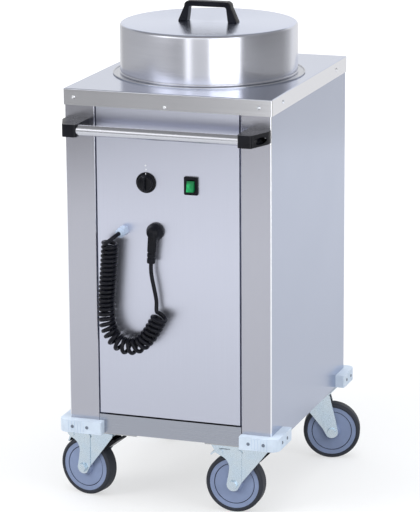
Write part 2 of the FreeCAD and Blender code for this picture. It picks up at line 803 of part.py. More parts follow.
def lid_handle():
    """The moulded bridge handle, with legs that lean out to its feet."""
    body = new_body("lid_handle")
    high = lid_top + grip_height
    under = high - grip_bar
    shoulder = grip_top_half + (grip_foot_half - grip_top_half) * 0.22
    outline = [(-grip_foot_half, lid_top), (-grip_foot_in, lid_top), (-grip_top_in, under),
               (grip_top_in, under), (grip_foot_in, lid_top), (grip_foot_half, lid_top),
               (shoulder, high - grip_round, grip_round, 1), (grip_top_half - grip_round * 0.7, high),
               (grip_round * 0.7 - grip_top_half, high, grip_round, 1), (-shoulder, high - grip_round)]
    pad(body, "XZ", -grip_width / 2, grip_width / 2, outline)
    for side in (-1, 1):
        pocket(body, "XY", lid_top, lid_top + 14, (side * grip_screw_x, 0, grip_screw_r + fit_gap))
    return keep(body, "lid_handle")


def lid_handle_screws():
    screws = []
    inside = lid_top - lid_wall
    for number, side in enumerate((-1, 1)):
        x = side * grip_screw_x
        shank = cylinder("grip_shank_%d" % number, grip_screw_r, lid_wall + 12, x, 0, inside)
        head = cylinder("grip_head_%d" % number, washer_r, 3, x, 0, inside - 3)
        screws.append(fuse("grip_screw_%d" % number, [shank, head]))
    return keep(group("lid_handle_screws", screws), "lid_handle_screws")


# ---- push bar ----
def push_bar():
    half = bracket_inner + bar_insert
    bar = cylinder("push_bar", bar_r, half * 2, -half, -half_depth - bar_standoff, bar_height, (1, 0, 0))
    return keep(bar, "push_bar")


def bar_bracket(name, side):
    """A moulded arm whose outer side slopes back to its foot; the bar's end sits in its blind socket."""
    body = new_body(name)
    inner = side * bracket_inner
    outer = side * (bracket_inner + bracket_width)
    foot_outer = side * (bracket_inner + foot_width)
    front = -half_depth - bracket_reach
    low, high = bar_height - bracket_height / 2, bar_height + bracket_height / 2
    arm = [(inner, -half_depth), (inner, front + bracket_round, bracket_round, side),
           (inner + side * bracket_round, front), (outer - side * bracket_round, front, bracket_round, side),
           (outer, front + bracket_round), (foot_outer, -half_depth - foot_thick), (foot_outer, -half_depth)]
    pad(body, "XY", low, high, arm)
    # the round recess of the foot's screw
    floor = -half_depth - foot_floor
    pocket(body, "XZ", front, floor, (side * bracket_screw_x, bracket_screw_z, bracket_recess_r))
    pocket(body, "XZ", floor, -half_depth, (side * bracket_screw_x, bracket_screw_z, screw_r + fit_gap))
    bar_axis = (-half_depth - bar_standoff, bar_height, bar_r)
    start = bracket_inner if side > 0 else -bracket_inner - bar_insert
    pocket(body, "YZ", start, start + bar_insert, bar_axis)
    return keep(body, name)


# ---- screws of the cabinet ----
def button_screw(name, x, y, z, axis):
    """A button-head screw: its shank goes in along the axis and its head lies outside."""
    back = tuple(-part for part in axis)
    shank = cylinder(name + "_shank", screw_r, screw_length, x, y, z, axis)
    head = cone(name + "_head", screw_head_r, screw_head_r * 0.6, screw_head, x, y, z, back)
    return fuse(name, [shank, head])


def cabinet_screws():
    """The screws of the top's skirt and of the push bar's feet."""
    screws = []
    front = -half_depth - top_overhang
    right = half_width + top_overhang
    for number, (x, z) in enumerate(skirt_screws_front()):
        screws.append(button_screw("front_screw_%d" % number, x, front, z, (0, 1, 0)))
        screws.append(button_screw("rear_screw_%d" % number, x, -front, z, (0, -1, 0)))
    for number, (y, z) in enumerate(skirt_screws_side()):
        screws.append(button_screw("right_screw_%d" % number, right, y, z, (-1, 0, 0)))
        screws.append(button_screw("left_screw_%d" % number, -right, y, z, (1, 0, 0)))
    for number, side in enumerate((-1, 1)):
        screws.append(button_screw("foot_screw_%d" % number, side * bracket_screw_x,
                                   -half_depth - foot_floor, bracket_screw_z, (0, 1, 0)))
    return keep(group("cabinet_screws", screws), "cabinet_screws")


# ---- controls ----
def knob():
    """The thermostat knob: a low skirt and a drum with a pointer ridge across it."""
    body = new_body("knob")
    face = panel_face - fit_gap
    pad(body, "XZ", face - 3, face, (knob_x, control_height, knob_skirt_r))
    pad(body, "XZ", face - knob_depth + 7, face - 3, (knob_x, control_height, knob_r - 2))
    half = knob_ridge / 2
    pad(body, "XZ", face - knob_depth, face - 3,
        round_rectangle(knob_x - half, control_height - knob_r + 1.5, knob_x + half,
                        control_height + knob_r - 1.5, as_size(2.5)))
    pocket(body, "XZ", face - 8, face, (knob_x, control_height, spindle_r + pivot_gap))
    return keep(body, "knob")


def thermostat():
    half = thermostat_side / 2
    back = panel_face + sheet_thick
    case = box("thermostat_case", knob_x - half, back, control_height - half,
               knob_x + half, back + thermostat_depth, control_height + half)
    spindle = cylinder("thermostat_spindle", spindle_r, 8 + sheet_thick, knob_x,
                       panel_face - fit_gap - 8 + 0.2, control_height, (0, 1, 0))
    return keep(fuse("thermostat", [case, spindle]), "thermostat")


def switch_housing():
    body = new_body("switch_housing")
    low, high = control_height - bezel_height / 2, control_height + bezel_height / 2
    pad(body, "XZ", panel_face - bezel_thick, panel_face,
        round_rectangle(switch_x - bezel_width / 2, low, switch_x + bezel_width / 2, high, as_size(3)))
    body_half_x = cutout_width / 2 - fit_gap
    body_half_z = cutout_height / 2 - fit_gap
    pad(body, "XZ", panel_face, panel_face + switch_depth,
        rectangle(switch_x - body_half_x, control_height - body_half_z,
                  switch_x + body_half_x, control_height + body_half_z))
    well_x = rocker_width / 2 + 0.8
    well_z = rocker_height / 2 + 2.4
    pocket(body, "XZ", panel_face - bezel_thick, panel_face + 14,
           rectangle(switch_x - well_x, control_height - well_z, switch_x + well_x, control_height + well_z))
    pad(body, "YZ", switch_x - well_x - 0.4, switch_x + well_x + 0.4, (panel_face + 5, control_height, rocker_pin_r))
    return keep(body, "switch_housing")


def rocker():
    """The lit rocker, resting with its upper half pressed in."""
    body = new_body("rocker")
    out = panel_face - bezel_thick
    half = rocker_height / 2
    outline = [(panel_face + 8, control_height - half + 3), (out - rocker_out, control_height - half),
               (out - rocker_out + 1.5, control_height - half + 6), (out - 3.5, control_height + half),
               (panel_face + 8, control_height + half - 3)]
    pad(body, "YZ", switch_x - rocker_width / 2, switch_x + rocker_width / 2, outline)
    pocket(body, "YZ", switch_x - rocker_width / 2, switch_x + rocker_width / 2,
           (panel_face + 5, control_height, rocker_pin_r + pivot_gap))
    return keep(body, "rocker")


# ---- gland, plug and its holder ----
def cable_gland():
    """The gland's body through the panel, with its lock nut behind."""
    forward = (0, -1, 0)
    flange = hexagon("gland_flange", gland_flats, gland_body_out, gland_x, panel_face, gland_height, forward,
                     sizes["gland_turn"])
    back = panel_face + sheet_thick
    shank = cylinder("gland_shank", gland_thread_r, sheet_thick + gland_locknut + 3, gland_x,
                     back + gland_locknut + 3, gland_height, forward)
    nut = hexagon("gland_locknut", gland_flats, gland_locknut, gland_x, back + gland_locknut, gland_height, forward)
    return keep(fuse("cable_gland", [flange, shank, nut]), "cable_gland")


def gland_nut():
    """The dome nut that clamps the lead: a hexagon that narrows to the lead's mouth."""
    forward = (0, -1, 0)
    start = panel_face - gland_body_out
    hexed = hexagon("dome_hexagon", gland_flats, gland_nut_out - 9, gland_x, start, gland_height, forward,
                    sizes["gland_turn"])
    dome = cone("dome_end", gland_flats / 2, gland_tip_r, 9, gland_x, start - gland_nut_out + 9,
                gland_height, forward)
    solid = fuse("dome_solid", [hexed, dome])
    mouth = cylinder("dome_mouth", wire_r + fit_gap, gland_nut_out, gland_x, start, gland_height, forward)
    return keep(cut("gland_nut", solid, mouth), "gland_nut")


def plug_holder():
    """The blind socket in the panel where the plug is parked."""
    body = new_body("plug_holder")
    pad(body, "XZ", panel_face - holder_flange, panel_face, (plug_x, plug_height, holder_r))
    pad(body, "XZ", panel_face, panel_face + 24, (plug_x, plug_height, holder_r - 2))
    for side in (-1, 1):
        pocket(body, "XZ", panel_face - holder_flange, panel_face + 20,
               (plug_x + side * pin_circle, plug_height, pin_r + fit_gap))
    return keep(body, "plug_holder")


def plug_point(down, out):
    """A point of the tilted plug: down its neck from the head's centre, and out from the panel."""
    lean = math.radians(sizes["plug_tilt"])
    return (plug_x - math.sin(lean) * down, panel_face - out, plug_height - math.cos(lean) * down)


def plug():
    """The angled plug: a tapered head with two pins, and a ribbed neck that points down."""
    seat = holder_flange
    forward = (0, -1, 0)
    head_x, head_y, head_z = plug_point(as_size(0), seat)
    pieces = [cone("plug_head", plug_face_r, plug_back_r, plug_depth - 3, head_x, head_y, head_z, forward),
              cone("plug_crown", plug_back_r, plug_back_r - 3, 3, head_x, panel_face - seat - plug_depth + 3,
                   head_z, forward)]
    for side in (-1, 1):
        pieces.append(cylinder("plug_pin_%d" % (side + 1), pin_r, pin_length + 4, plug_x + side * pin_circle,
                               panel_face - seat + pin_length, plug_height, forward))
    lean = math.radians(sizes["plug_tilt"])
    down = (-math.sin(lean), 0, -math.cos(lean))
    high, low, groove = sizes["plug_groove_high"], sizes["plug_groove_low"], sizes["plug_groove_width"]
    sections = [(0, high, plug_neck_r, plug_neck_r - 0.3), (high, high + groove, plug_neck_r - 1.5, plug_neck_r - 1.5),
                (high + groove, low, plug_neck_r - 0.4, plug_neck_r - 0.5),
                (low, low + groove, plug_neck_r - 1.7, plug_neck_r - 1.7),
                (low + groove, sizes["plug_length"], plug_relief_r, plug_relief_r - 0.4)]
    for number, (start, finish, radius_start, radius_finish) in enumerate(sections):
        x, y, z = plug_point(as_size(start), plug_axis_out)
        pieces.append(cone("plug_neck_%d" % number, radius_start, radius_finish + 0.01, finish - start,
                           x, y, z, down))
    solid = fuse("plug_solid", pieces)
    x, y, z = plug_point(plug_length, plug_axis_out)
    bore = cylinder("plug_bore", wire_r, 12, x, y, z, tuple(-part for part in down))
    return keep(cut("plug", solid, bore), "plug")


# ---- lead: routes ----
def vector(x, out, z):
    """A point of a route: out is measured from the front panel's face."""
    return FreeCAD.Vector(x, sizes["panel_recess"] - sizes["body_depth"] / 2 - out, z)


def rounded_wire(points):
    """Straight runs joined by tangent arcs; each arc is as large as its runs allow."""
    edges = []
    radii = []
    cursor = points[0]
    for before, corner, after in zip(points, points[1:], points[2:]):
        incoming = (corner - before).normalize()
        outgoing = (after - corner).normalize()
        turn = incoming.getAngle(outgoing)
        reach = 0.45 * min((corner - before).Length, (after - corner).Length)
        radius = reach / math.tan(turn / 2)
        radii.append(radius)
        first = corner - incoming * reach
        last = corner + outgoing * reach
        inward = (outgoing - incoming).normalize()
        middle = corner + inward * (radius / math.cos(turn / 2) - radius)
        edges.append(Part.LineSegment(cursor, first).toShape())
        edges.append(Part.Arc(first, middle, last).toShape())
        cursor = last
    edges.append(Part.LineSegment(cursor, points[-1]).toShape())
    return Part.Wire(edges), radii


def sweep(wire, start, direction):
    """A round wire of the lead's thickness along a path."""
    section = Part.Wire(Part.Circle(start, direction, sizes["wire_r"]).toShape())
    shell = Part.BRepOffsetAPI.MakePipeShell(wire)
    shell.add(section)
    shell.build()
    shell.makeSolid()
    return shell.shape()


def keep_tube(name, wire, start, direction):
    thing = doc.addObject("Part::Feature", name)
    thing.Shape = sweep(wire, start, direction)
    expected = math.pi * sizes["wire_r"] ** 2 * wire.Length
    print("%s: length %.1f mm, volume %.4f of its section times its length"
          % (name, wire.Length, thing.Shape.Volume / expected))
    return keep(thing, name)


def biarc(start, start_way, finish, finish_way):
    """Two tangent arcs from one point and direction to another."""
    chord = finish - start
    ways = start_way + finish_way
    factor = 2 * (1 - start_way.dot(finish_way))
    middle_term = chord.dot(ways)
    if abs(factor) < 1e-9:
        reach = chord.dot(chord) / (4 * chord.dot(finish_way))
    else:
        reach = (math.sqrt(middle_term ** 2 + 2 * (1 - start_way.dot(finish_way)) * chord.dot(chord))
                 - middle_term) / factor
    joint = (start + start_way * reach + finish - finish_way * reach) / 2
    return [arc_from(start, start_way, joint), arc_from(joint, None, finish, finish_way)]


def arc_from(start, start_way, finish, finish_way=None):
    """The arc that leaves start along start_way, or that reaches finish along finish_way."""
    chord = finish - start
    way = start_way if start_way is not None else finish_way
    along = chord.dot(way)
    across = chord - way * along
    if across.Length < 1e-6:
        return Part.LineSegment(start, finish).toShape()
    side = across.normalize()
    if start_way is None:
        side = side * -1
    radius = chord.Length ** 2 / (2 * abs(chord.dot(side)))
    centre = (start if start_way is not None else finish) + side * radius * (1 if start_way is not None else 1)
    if start_way is None:
        centre = finish + side * radius
    middle = (start + finish) / 2 - centre
    through = centre + middle.normalize() * radius
    return Part.Arc(start, through, finish).toShape()


def curl_axis():
    """The curls' centre line: a straight run down, then three bends up to the plug's side."""
    x = sizes["gland_x"] - sizes["curl_start_left"]
    z = gland_height.value - sizes["curl_start_down"]
    heading = sizes["curl_heading"]
    bends = [(None, sizes["curl_straight"]), (102.0, 31.9), (42.0, 100.3), (130.0, 36.7)]
    pieces = []
    for radius, amount in bends:
        if radius is None:
            pieces.append((x, z, heading, 0.0, amount))
            x += amount * math.cos(math.radians(heading))
            z += amount * math.sin(math.radians(heading))
        else:
            pieces.append((x, z, heading, 1 / radius, radius * math.radians(amount)))
            centre_x = x - radius * math.sin(math.radians(heading))
            centre_z = z + radius * math.cos(math.radians(heading))
            heading += amount
            x = centre_x + radius * math.sin(math.radians(heading))
            z = centre_z - radius * math.cos(math.radians(heading))
    return pieces


def axis_state(pieces, distance):
    """Centre, direction and curvature of the curls' centre line at a distance along it."""
    for x, z, heading, curvature, length in pieces[:-1]:
        if distance <= length:
            break
        distance -= length
    else:
        x, z, heading, curvature, length = pieces[-1]
    angle = math.radians(heading)
    if curvature == 0:
        return (x + distance * math.cos(angle), z + distance * math.sin(angle), angle, 0.0)
    turned = angle + distance * curvature
    return (x + (math.sin(turned) - math.sin(angle)) / curvature,
            z - (math.cos(turned) - math.cos(angle)) / curvature, turned, curvature)


def curl_pitch_at(pieces, distance):
    """In a bend the curls spread, so that they keep their spacing on its inside."""
    near = [axis_state(pieces, max(distance + shift, 0))[3] for shift in (-5, 0, 5)]
    if max(near) == 0:
        return sizes["curl_pitch"]
    return sizes["curl_pitch_inside"] / (1 - sizes["curl_r"] * max(near))


def curl_points():
    """Phase, point and direction every 10 degrees along the curls."""
    pieces = curl_axis()
    total = sum(piece[4] for piece in pieces)
    radius = sizes["curl_r"]
    points = []
    distance, phase = 0.0, sizes["curl_start_phase"]
    step = 10
    while distance < total:
        pitch = curl_pitch_at(pieces, distance)
        x, z, angle, curvature = axis_state(pieces, distance)
        along = FreeCAD.Vector(math.cos(angle), 0, math.sin(angle))
        outer = FreeCAD.Vector(math.sin(angle), 0, -math.cos(angle))
        back = FreeCAD.Vector(0, 1, 0)
        turn = math.radians(phase)
        centre = vector(x, sizes["curl_out"], z)
        point = centre + outer * (radius * math.cos(turn)) + back * (radius * math.sin(turn))
        rise = pitch / (2 * math.pi) * (1 + curvature * radius * math.cos(turn))
        way = along * rise - outer * (radius * math.sin(turn)) + back * (radius * math.cos(turn))
        points.append((phase, point, way.normalize()))
        distance += pitch * step / 360
        phase += step
    return points


def report_gap(edges):
    """Least clear distance between the lead and itself, from points along its centre line."""
    samples = []
    travelled = 0.0
    for edge in edges:
        count = max(int(edge.Length / 2), 2)
        for place_on in edge.discretize(count + 1)[:-1]:
            samples.append((travelled + (place_on - edge.Vertexes[0].Point).Length, place_on))
        travelled += edge.Length
    least = 1e9
    apart = 2.5 * sizes["curl_r"]
    for number, (distance, point) in enumerate(samples):
        for other_distance, other in samples[number + 1:number + 160]:
            if abs(other_distance - distance) > apart:
                least = min(least, (other - point).Length)
    return least - 2 * sizes["wire_r"]


def cord_coil():
    """The curls as one unbroken tube, with a straight stretch at each end."""
    points = curl_points()
    first_phase = points[0][0]
    end_phase = max(phase for phase, point, way in points if phase % 360 == sizes["curl_end_phase"])
    picked = [entry for entry in points
              if (entry[0] - first_phase) % 180 == 0 and entry[0] < end_phase - 90]
    picked += [entry for entry in points if entry[0] == end_phase]
    straight = 2 * sizes["wire_r"]
    start_way = picked[0][2]
    start = picked[0][1] - start_way * straight
    edges = [Part.LineSegment(start, picked[0][1]).toShape()]
    for (phase, point, way), (next_phase, next_point, next_way) in zip(picked, picked[1:]):
        edges += biarc(point, way, next_point, next_way)
    # the last curl turns up towards the plug
    last_point, last_way = picked[-1][1], picked[-1][2]
    upward = FreeCAD.Vector(0.02, 0.05, 1).normalize()
    lift = (upward - last_way * upward.dot(last_way)).normalize()
    bend = 16.0
    angle = last_way.getAngle(upward)
    middle = last_point + last_way * (bend * math.sin(angle / 2)) + lift * (bend * (1 - math.cos(angle / 2)))
    top = last_point + last_way * (bend * math.sin(angle)) + lift * (bend * (1 - math.cos(angle)))
    edges.append(Part.Arc(last_point, middle, top).toShape())
    finish = top + upward * straight
    edges.append(Part.LineSegment(top, finish).toShape())
    turns = (end_phase - first_phase) / 360
    print("cord_coil: %.2f turns, least gap to itself %.2f mm" % (turns, report_gap(edges)))
    keep_tube("cord_coil", Part.Wire(edges), start, start_way)
    return start, start_way, finish, upward


def show_point(name, point):
    print("%s: x %.2f, out %.2f, z %.2f" % (name, point.x, -point.y - sizes["body_depth"] / 2
                                            + sizes["panel_recess"], point.z))


def cord_ends():
    coil_start, coil_start_way, coil_finish, coil_finish_way = cord_coil()
    show_point("coil start", coil_start)
    show_point("coil finish", coil_finish)
    tip = sizes["gland_body_out"] + sizes["gland_nut_out"]
    mouth = vector(sizes["gland_x"], tip - 6, gland_height.value)
    corner = vector(sizes["gland_x"], tip + 16, gland_height.value)
    route = [mouth, corner, coil_start - coil_start_way * 16, coil_start]
    wire, radii = rounded_wire(route)
    print("cord_gland_end radii", ["%.1f" % radius for radius in radii])
    keep_tube("cord_gland_end", wire, mouth, corner - mouth)
    x, y, z = plug_point(as_size(sizes["plug_length"]), sizes["plug_axis_out"])
    lean = math.radians(sizes["plug_tilt"])
    down = FreeCAD.Vector(-math.sin(lean), 0, -math.cos(lean))
    clamp = FreeCAD.Vector(x.value, as_size(y).value, z.value) - down * 12
    below = sizes["plug_x"], plug_height.value
    route = [clamp, clamp + down * 26, vector(below[0] - 2, 17, below[1] - 95),
             vector(below[0] + 5, 16, below[1] - 116), coil_finish + coil_finish_way * 11, coil_finish]
    wire, radii = rounded_wire(route)
    print("cord_plug_end radii", ["%.1f" % radius for radius in radii])
    keep_tube("cord_plug_end", wire, clamp, down)


# ---- corner bumpers ----
def bumper(name, x_side, y_side, along_x, along_y):
    """A ribbed strip round one corner; its legs are measured from the strip's outer corner."""
    body = new_body(name)
    face_x = x_side * half_width
    face_y = y_side * half_depth
    out_x = x_side * (half_width + bumper_thick)
    out_y = y_side * (half_depth + bumper_thick)
    end_x = x_side * (half_width + bumper_thick - along_x)
    end_y = y_side * (half_depth + bumper_thick - along_y)
    turn = x_side * y_side
    soft = bumper_end_round
    outline = [(face_x, face_y), (end_x, face_y),
               (end_x, out_y - y_side * soft, soft, turn * -1), (end_x + x_side * soft, out_y)]
    for number in reversed(range(6)):
        start = half_width + bumper_thick - rib_start - rib_pitch * number
        for x in (start - rib_width, start):
            pair = [(x_side * x, out_y), (x_side * x, out_y - y_side * rib_depth)]
            outline += pair if x is not start else pair[::-1]
    outline += [(out_x - x_side * bumper_round, out_y, bumper_round, turn * -1),
                (out_x, out_y - y_side * bumper_round)]
    for number in range(6):
        start = half_depth + bumper_thick - rib_start - rib_pitch * number
        for y in (start, start - rib_width):
            pair = [(out_x, y_side * y), (out_x - x_side * rib_depth, y_side * y)]
            outline += pair if y is start else pair[::-1]
    outline += [(out_x, end_y + y_side * soft, soft, turn * -1), (out_x - x_side * soft, end_y),
                (face_x, end_y)]
    pad(body, "XY", body_bottom, body_bottom + bumper_height, outline)
    return keep(body, name)


def bumper_screws():
    screws = []
    middle = body_bottom + bumper_height / 2
    for x_side in (-1, 1):
        for y_side in (-1, 1):
            for inset in (bumper_screw_near, bumper_screw_far):
                x = x_side * (half_width + bumper_thick - inset)
                y = y_side * (half_depth + bumper_thick)
                tag = "%d_%d_%d" % (x_side + 1, y_side + 1, inset.value)
                screws.append(sunk_screw("x_screw_" + tag, x, y, middle, (0, -y_side, 0)))
                x = x_side * (half_width + bumper_thick)
                y = y_side * (half_depth + bumper_thick - inset)
                screws.append(sunk_screw("y_screw_" + tag, x, y, middle, (-x_side, 0, 0)))
    return keep(group("bumper_screws", screws), "bumper_screws")


def sunk_screw(name, x, y, z, axis):
    """A pan head that stands on the bumper's face."""
    back = tuple(-part for part in axis)
    return cone(name, screw_head_r * 0.9, screw_head_r * 0.5, 1.2, x, y, z, back)


# ---- casters ----
def caster_plate(name, x_side, y_side):
    """The mounting plate with the fixed race and the kingpin, riveted over below the fork."""
    body = new_body(name)
    under = caster_height - plate_thick
    half_long, half_short = plate_long / 2, plate_short / 2
    pad(body, "XY", under, caster_height,
        round_rectangle(-half_long, -half_short, half_long, half_short, as_size(7)))
    for bolt_x, bolt_y in bolt_places():
        pocket(body, "XY", under, caster_height, (bolt_x, bolt_y, bolt_r + fit_gap))
    race_low = under - race_height
    head_high = fork_top - 3.3 - fit_gap
    outline = [(0, under + 0.5), (race_r, under + 0.5), (race_r, race_low + 2), (race_r - 2, race_low),
               (kingpin_r, race_low), (kingpin_r, head_high), (kingpin_head_r, head_high),
               (kingpin_head_r, head_high - 2), (kingpin_head_r - 3, head_high - 3.5), (0, head_high - 3.5)]
    revolve(body, "XZ", "V_Axis", outline)
    place(body, x_side * swivel_x, y_side * swivel_y)
    return keep(body, name)


def cheek_outline():
    """One side of the fork, from the axle's boss up to the head and out over the wheel."""
    centre = -trail
    edge = boss_r * 0.7071
    return [(centre - boss_r, wheel_r, boss_r, 1), (centre, wheel_r - boss_r, boss_r, 1),
            (centre + edge, wheel_r - edge), (centre + 19.5, wheel_r + 7), (centre + 75, 140),
            (centre + 78, fork_top), (shoe_pivot_x - 20, fork_top), (shoe_pivot_x - 9, 129),
            (shoe_pivot_x + 2, 123.5, as_size(26), -1), (centre - 8, 99), (centre - 10, 84)]


def fork(name, x_side, y_side, turn, braked):
    """The pressed fork: two cheeks with a stepped leading web, the bridge and the moving race."""
    body = new_body(name)
    outer = fork_inner + fork_thick
    race_high = caster_height - plate_thick - race_height - fit_gap
    pad(body, "XZ", -outer, -fork_inner, cheek_outline())
    pad(body, "XZ", fork_inner, outer, cheek_outline())
    pad(body, "XY", fork_top - 3.3, fork_top, rectangle(-38, -fork_inner - 1, 32, fork_inner + 1))
    pad(body, "XY", fork_top - 0.5, race_high, (0, 0, race_r))
    web = [(-trail + 18.7, wheel_r), (60, wheel_r), (60, fork_top - 5), (-trail + 18.7, fork_top - 5)]
    pocket(body, "XZ", -outer - 1, fork_step - outer, web)
    pocket(body, "XZ", outer - fork_step, outer + 1, web)
    pocket(body, "XY", fork_top - 4, race_high + 1, (0, 0, kingpin_r + pivot_gap))
    pocket(body, "XZ", -outer - 1, outer + 1, (-trail, wheel_r, axle_r))
    pocket(body, "XZ", -outer - 1, outer + 1, rectangle(shoe_pivot_x - 2, 138.7, shoe_pivot_x + 21, 140.5))
    if braked:
        pins = [(shoe_pivot_x, shoe_pivot_z), (pedal_pivot_x, pedal_pivot_z)]
        for x, z in pins:
            pad(body, "XZ", 0.5 - outer, outer - 0.5, (x, z, rivet_r))
            pad(body, "XZ", -outer - rivet_head, 0.2 - outer, (x, z, rivet_head_r))
            pad(body, "XZ", outer - 0.2, outer + rivet_head, (x, z, rivet_head_r))
    place(body, x_side * swivel_x, y_side * swivel_y, 0, turn)
    return keep(body, name)


def axle(name, x_side, y_side, turn):
    """The axle bolt across the fork, with its head and nut."""
    body = new_body(name)
    outer = fork_inner + fork_thick
    pad(body, "XZ", -outer - 1, outer + 1, (-trail, wheel_r, axle_r))
    for low, high in ((-outer - 6.5, -outer), (outer, outer + 6.5)):
        low_flange, high_flange = (high - 1.5, high) if as_size(low).value < 0 else (low, low + 1.5)
        pad(body, "XZ", low_flange, high_flange, (-trail, wheel_r, axle_r + 4))
        across = axle_r + 2.4
        flat = across * 0.5774
        hexed = [(flat * 2 - trail, wheel_r), (flat - trail, wheel_r + across), (-flat - trail, wheel_r + across),
                 (-flat * 2 - trail, wheel_r), (-flat - trail, wheel_r - across), (flat - trail, wheel_r - across)]
        pad(body, "XZ", low, high, hexed)
    place(body, x_side * swivel_x, y_side * swivel_y, 0, turn)
    return keep(body, name)


def wheel_core(name, x_side, y_side, turn):
    """The wheel's moulded disc: a hub, a recessed web with a ring groove, and the rim."""
    body = new_body(name)
    hub_half = fork_inner - fit_gap
    web = wheel_width / 2 - 3
    rim = wheel_width / 2 - 2.2
    bore = axle_r + pivot_gap
    groove_in, groove_out = groove_r - 0.9, groove_r + 0.9
    right = [(hub_half, bore), (hub_half, hub_r - 2), (hub_half - 2, hub_r), (web, hub_r + 1.5),
             (web, groove_in), (web - 2, groove_in + 0.3), (web - 2, groove_out - 0.3), (rim, groove_out),
             (rim, rim_r)]
    left = [(-as_size(across), radius) for across, radius in reversed(right)]
    revolve(body, "YZ", "H_Axis", right + left, along=-trail, up=wheel_r)
    place(body, x_side * swivel_x, y_side * swivel_y, 0, turn)
    return keep(body, name)


def tyre(name, x_side, y_side, turn):
    """The grey tyre with rounded shoulders."""
    body = new_body(name)
    half = wheel_width / 2
    tread = half - 5.5
    shoulder = as_size(6.2)
    right = [(half - 2.2, rim_r), (half, rim_r + 1.8), (half, wheel_r - 5.8, shoulder, 1), (tread, wheel_r)]
    left = [(-tread, wheel_r, shoulder, 1), (-half, wheel_r - 5.8), (-half, rim_r + 1.8), (2.2 - half, rim_r)]
    revolve(body, "YZ", "H_Axis", right + left, along=-trail, up=wheel_r)
    place(body, x_side * swivel_x, y_side * swivel_y, 0, turn)
    return keep(body, name)


def brake_pedal(name, x_side, y_side, turn, pressed):
    """The foot pedal between the cheeks, drawn from its pivot in the released position."""
    body = new_body(name)
    place_on = {"right": pedal_pivot_x, "up": pedal_pivot_z, "turn": pressed}
    outline = [(-8, -3), (-3, -7.5), (8, -6), (32, -9), (38, -17.5), (44, -17.5), (70.5, 9.5), (70.5, 13.5),
               (66.5, 13.5), (63.5, 8), (43, 7), (40, 3.5), (6, 4.5), (0, 7), (-8, 4)]
    pad(body, "XZ", -pedal_half, pedal_half, outline, **place_on)
    pocket(body, "XZ", -pedal_half - 1, pedal_half + 1, (0, 0, rivet_r + pivot_gap), **place_on)
    place(body, x_side * swivel_x, y_side * swivel_y, 0, turn)
    return keep(body, name)


def brake_shoe(name, x_side, y_side, turn, raised):
    """The hooked shoe over the wheel, drawn from its pivot in the locked position."""
    body = new_body(name)
    place_on = {"right": shoe_pivot_x, "up": shoe_pivot_z, "turn": raised}
    outline = [(-17.5, -20), (-14.5, -21.7), (-10.5, -12.2), (-4.5, -9), (5.5, -6.5), (6, 6), (-8, 6)]
    pad(body, "XZ", -shoe_half, shoe_half, outline, **place_on)
    pocket(body, "XZ", -shoe_half - 1, shoe_half + 1, (0, 0, rivet_r + pivot_gap), **place_on)
    place(body, x_side * swivel_x, y_side * swivel_y, 0, turn)
    return keep(body, name)


def caster_bolts():
    bolts = []
    under = caster_height - plate_thick
    above = body_bottom + base_thick
    for x_side in (-1, 1):
        for y_side in (-1, 1):
            for number, (bolt_x, bolt_y) in enumerate(bolt_places()):
                tag = "bolt_%d_%d_%d" % (x_side + 1, y_side + 1, number)
                x, y = x_side * swivel_x + bolt_x, y_side * swivel_y + bolt_y
                head = hexagon(tag + "_head", bolt_head_r * 1.7, bolt_head, x, y, under - bolt_head)
                shank = cylinder(tag + "_shank", bolt_r, above - under + 8, x, y, under)
                nut = hexagon(tag + "_nut", bolt_head_r * 1.7, bolt_head, x, y, above)
                bolts.append(fuse(tag, [head, shank, nut]))
    return keep(group("caster_bolts", bolts), "caster_bolts")


# ---- the assembly ----
side_panel("left_side_panel", -1)
side_panel("right_side_panel", 1)
front_panel()
bottom_rail()
rear_panel()
base_plate()
top_plate()
plate_tube()
guide_rods()
plate_carrier()
carrier_springs()
heating_element()
lid()
lid_handle()
lid_handle_screws()
push_bar()
bar_bracket("left_bar_bracket", -1)
bar_bracket("right_bar_bracket", 1)
cabinet_screws()
knob()
thermostat()
switch_housing()
rocker()
cable_gland()
gland_nut()
plug_holder()
plug()
cord_ends()
bumper("front_left_bumper", -1, -1, bumper_long, bumper_short)
bumper("front_right_bumper", 1, -1, bumper_short, bumper_long)
bumper("rear_right_bumper", 1, 1, bumper_long, bumper_short)
bumper("rear_left_bumper", -1, 1, bumper_short, bumper_long)
bumper_screws()

corners = [("front_left", -1, -1, turn_front_left, True), ("front_right", 1, -1, turn_front_right, True),
           ("rear_right", 1, 1, turn_rear_right, False), ("rear_left", -1, 1, turn_rear_left, False)]
for corner_name, x_sign, y_sign, corner_turn, has_brake in corners:
    caster_plate(corner_name + "_caster_plate", x_sign, y_sign)
    fork(corner_name + "_fork", x_sign, y_sign, corner_turn, has_brake)
    axle(corner_name + "_axle", x_sign, y_sign, corner_turn)
    wheel_core(corner_name + "_wheel", x_sign, y_sign, corner_turn)
    tyre(corner_name + "_tyre", x_sign, y_sign, corner_turn)
brake_pedal("front_left_brake_pedal", -1, -1, turn_front_left, -pedal_travel)
brake_pedal("front_right_brake_pedal", 1, -1, turn_front_right, 0)
brake_shoe("front_left_brake_shoe", -1, -1, turn_front_left, 0)
brake_shoe("front_right_brake_shoe", 1, -1, turn_front_right, -shoe_travel)
caster_bolts()

doc.recompute()

problems = [thing.Name for thing in doc.Objects if "Invalid" in thing.State or "Error" in thing.State]
for node in nodes:
    if node.Shape.isNull() or not node.Shape.isValid():
        problems.append(node.Label + " shape")
if problems:
    raise RuntimeError("failed: " + ", ".join(problems))

os.makedirs("parts", exist_ok=True)
for node in nodes:
    node.Shape.exportStep("parts/%s.step" % node.Label)
print("%d sub-parts written" % len(nodes))
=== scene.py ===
import bpy
import bmesh
import json
import math
from mathutils import Euler, Matrix, Vector


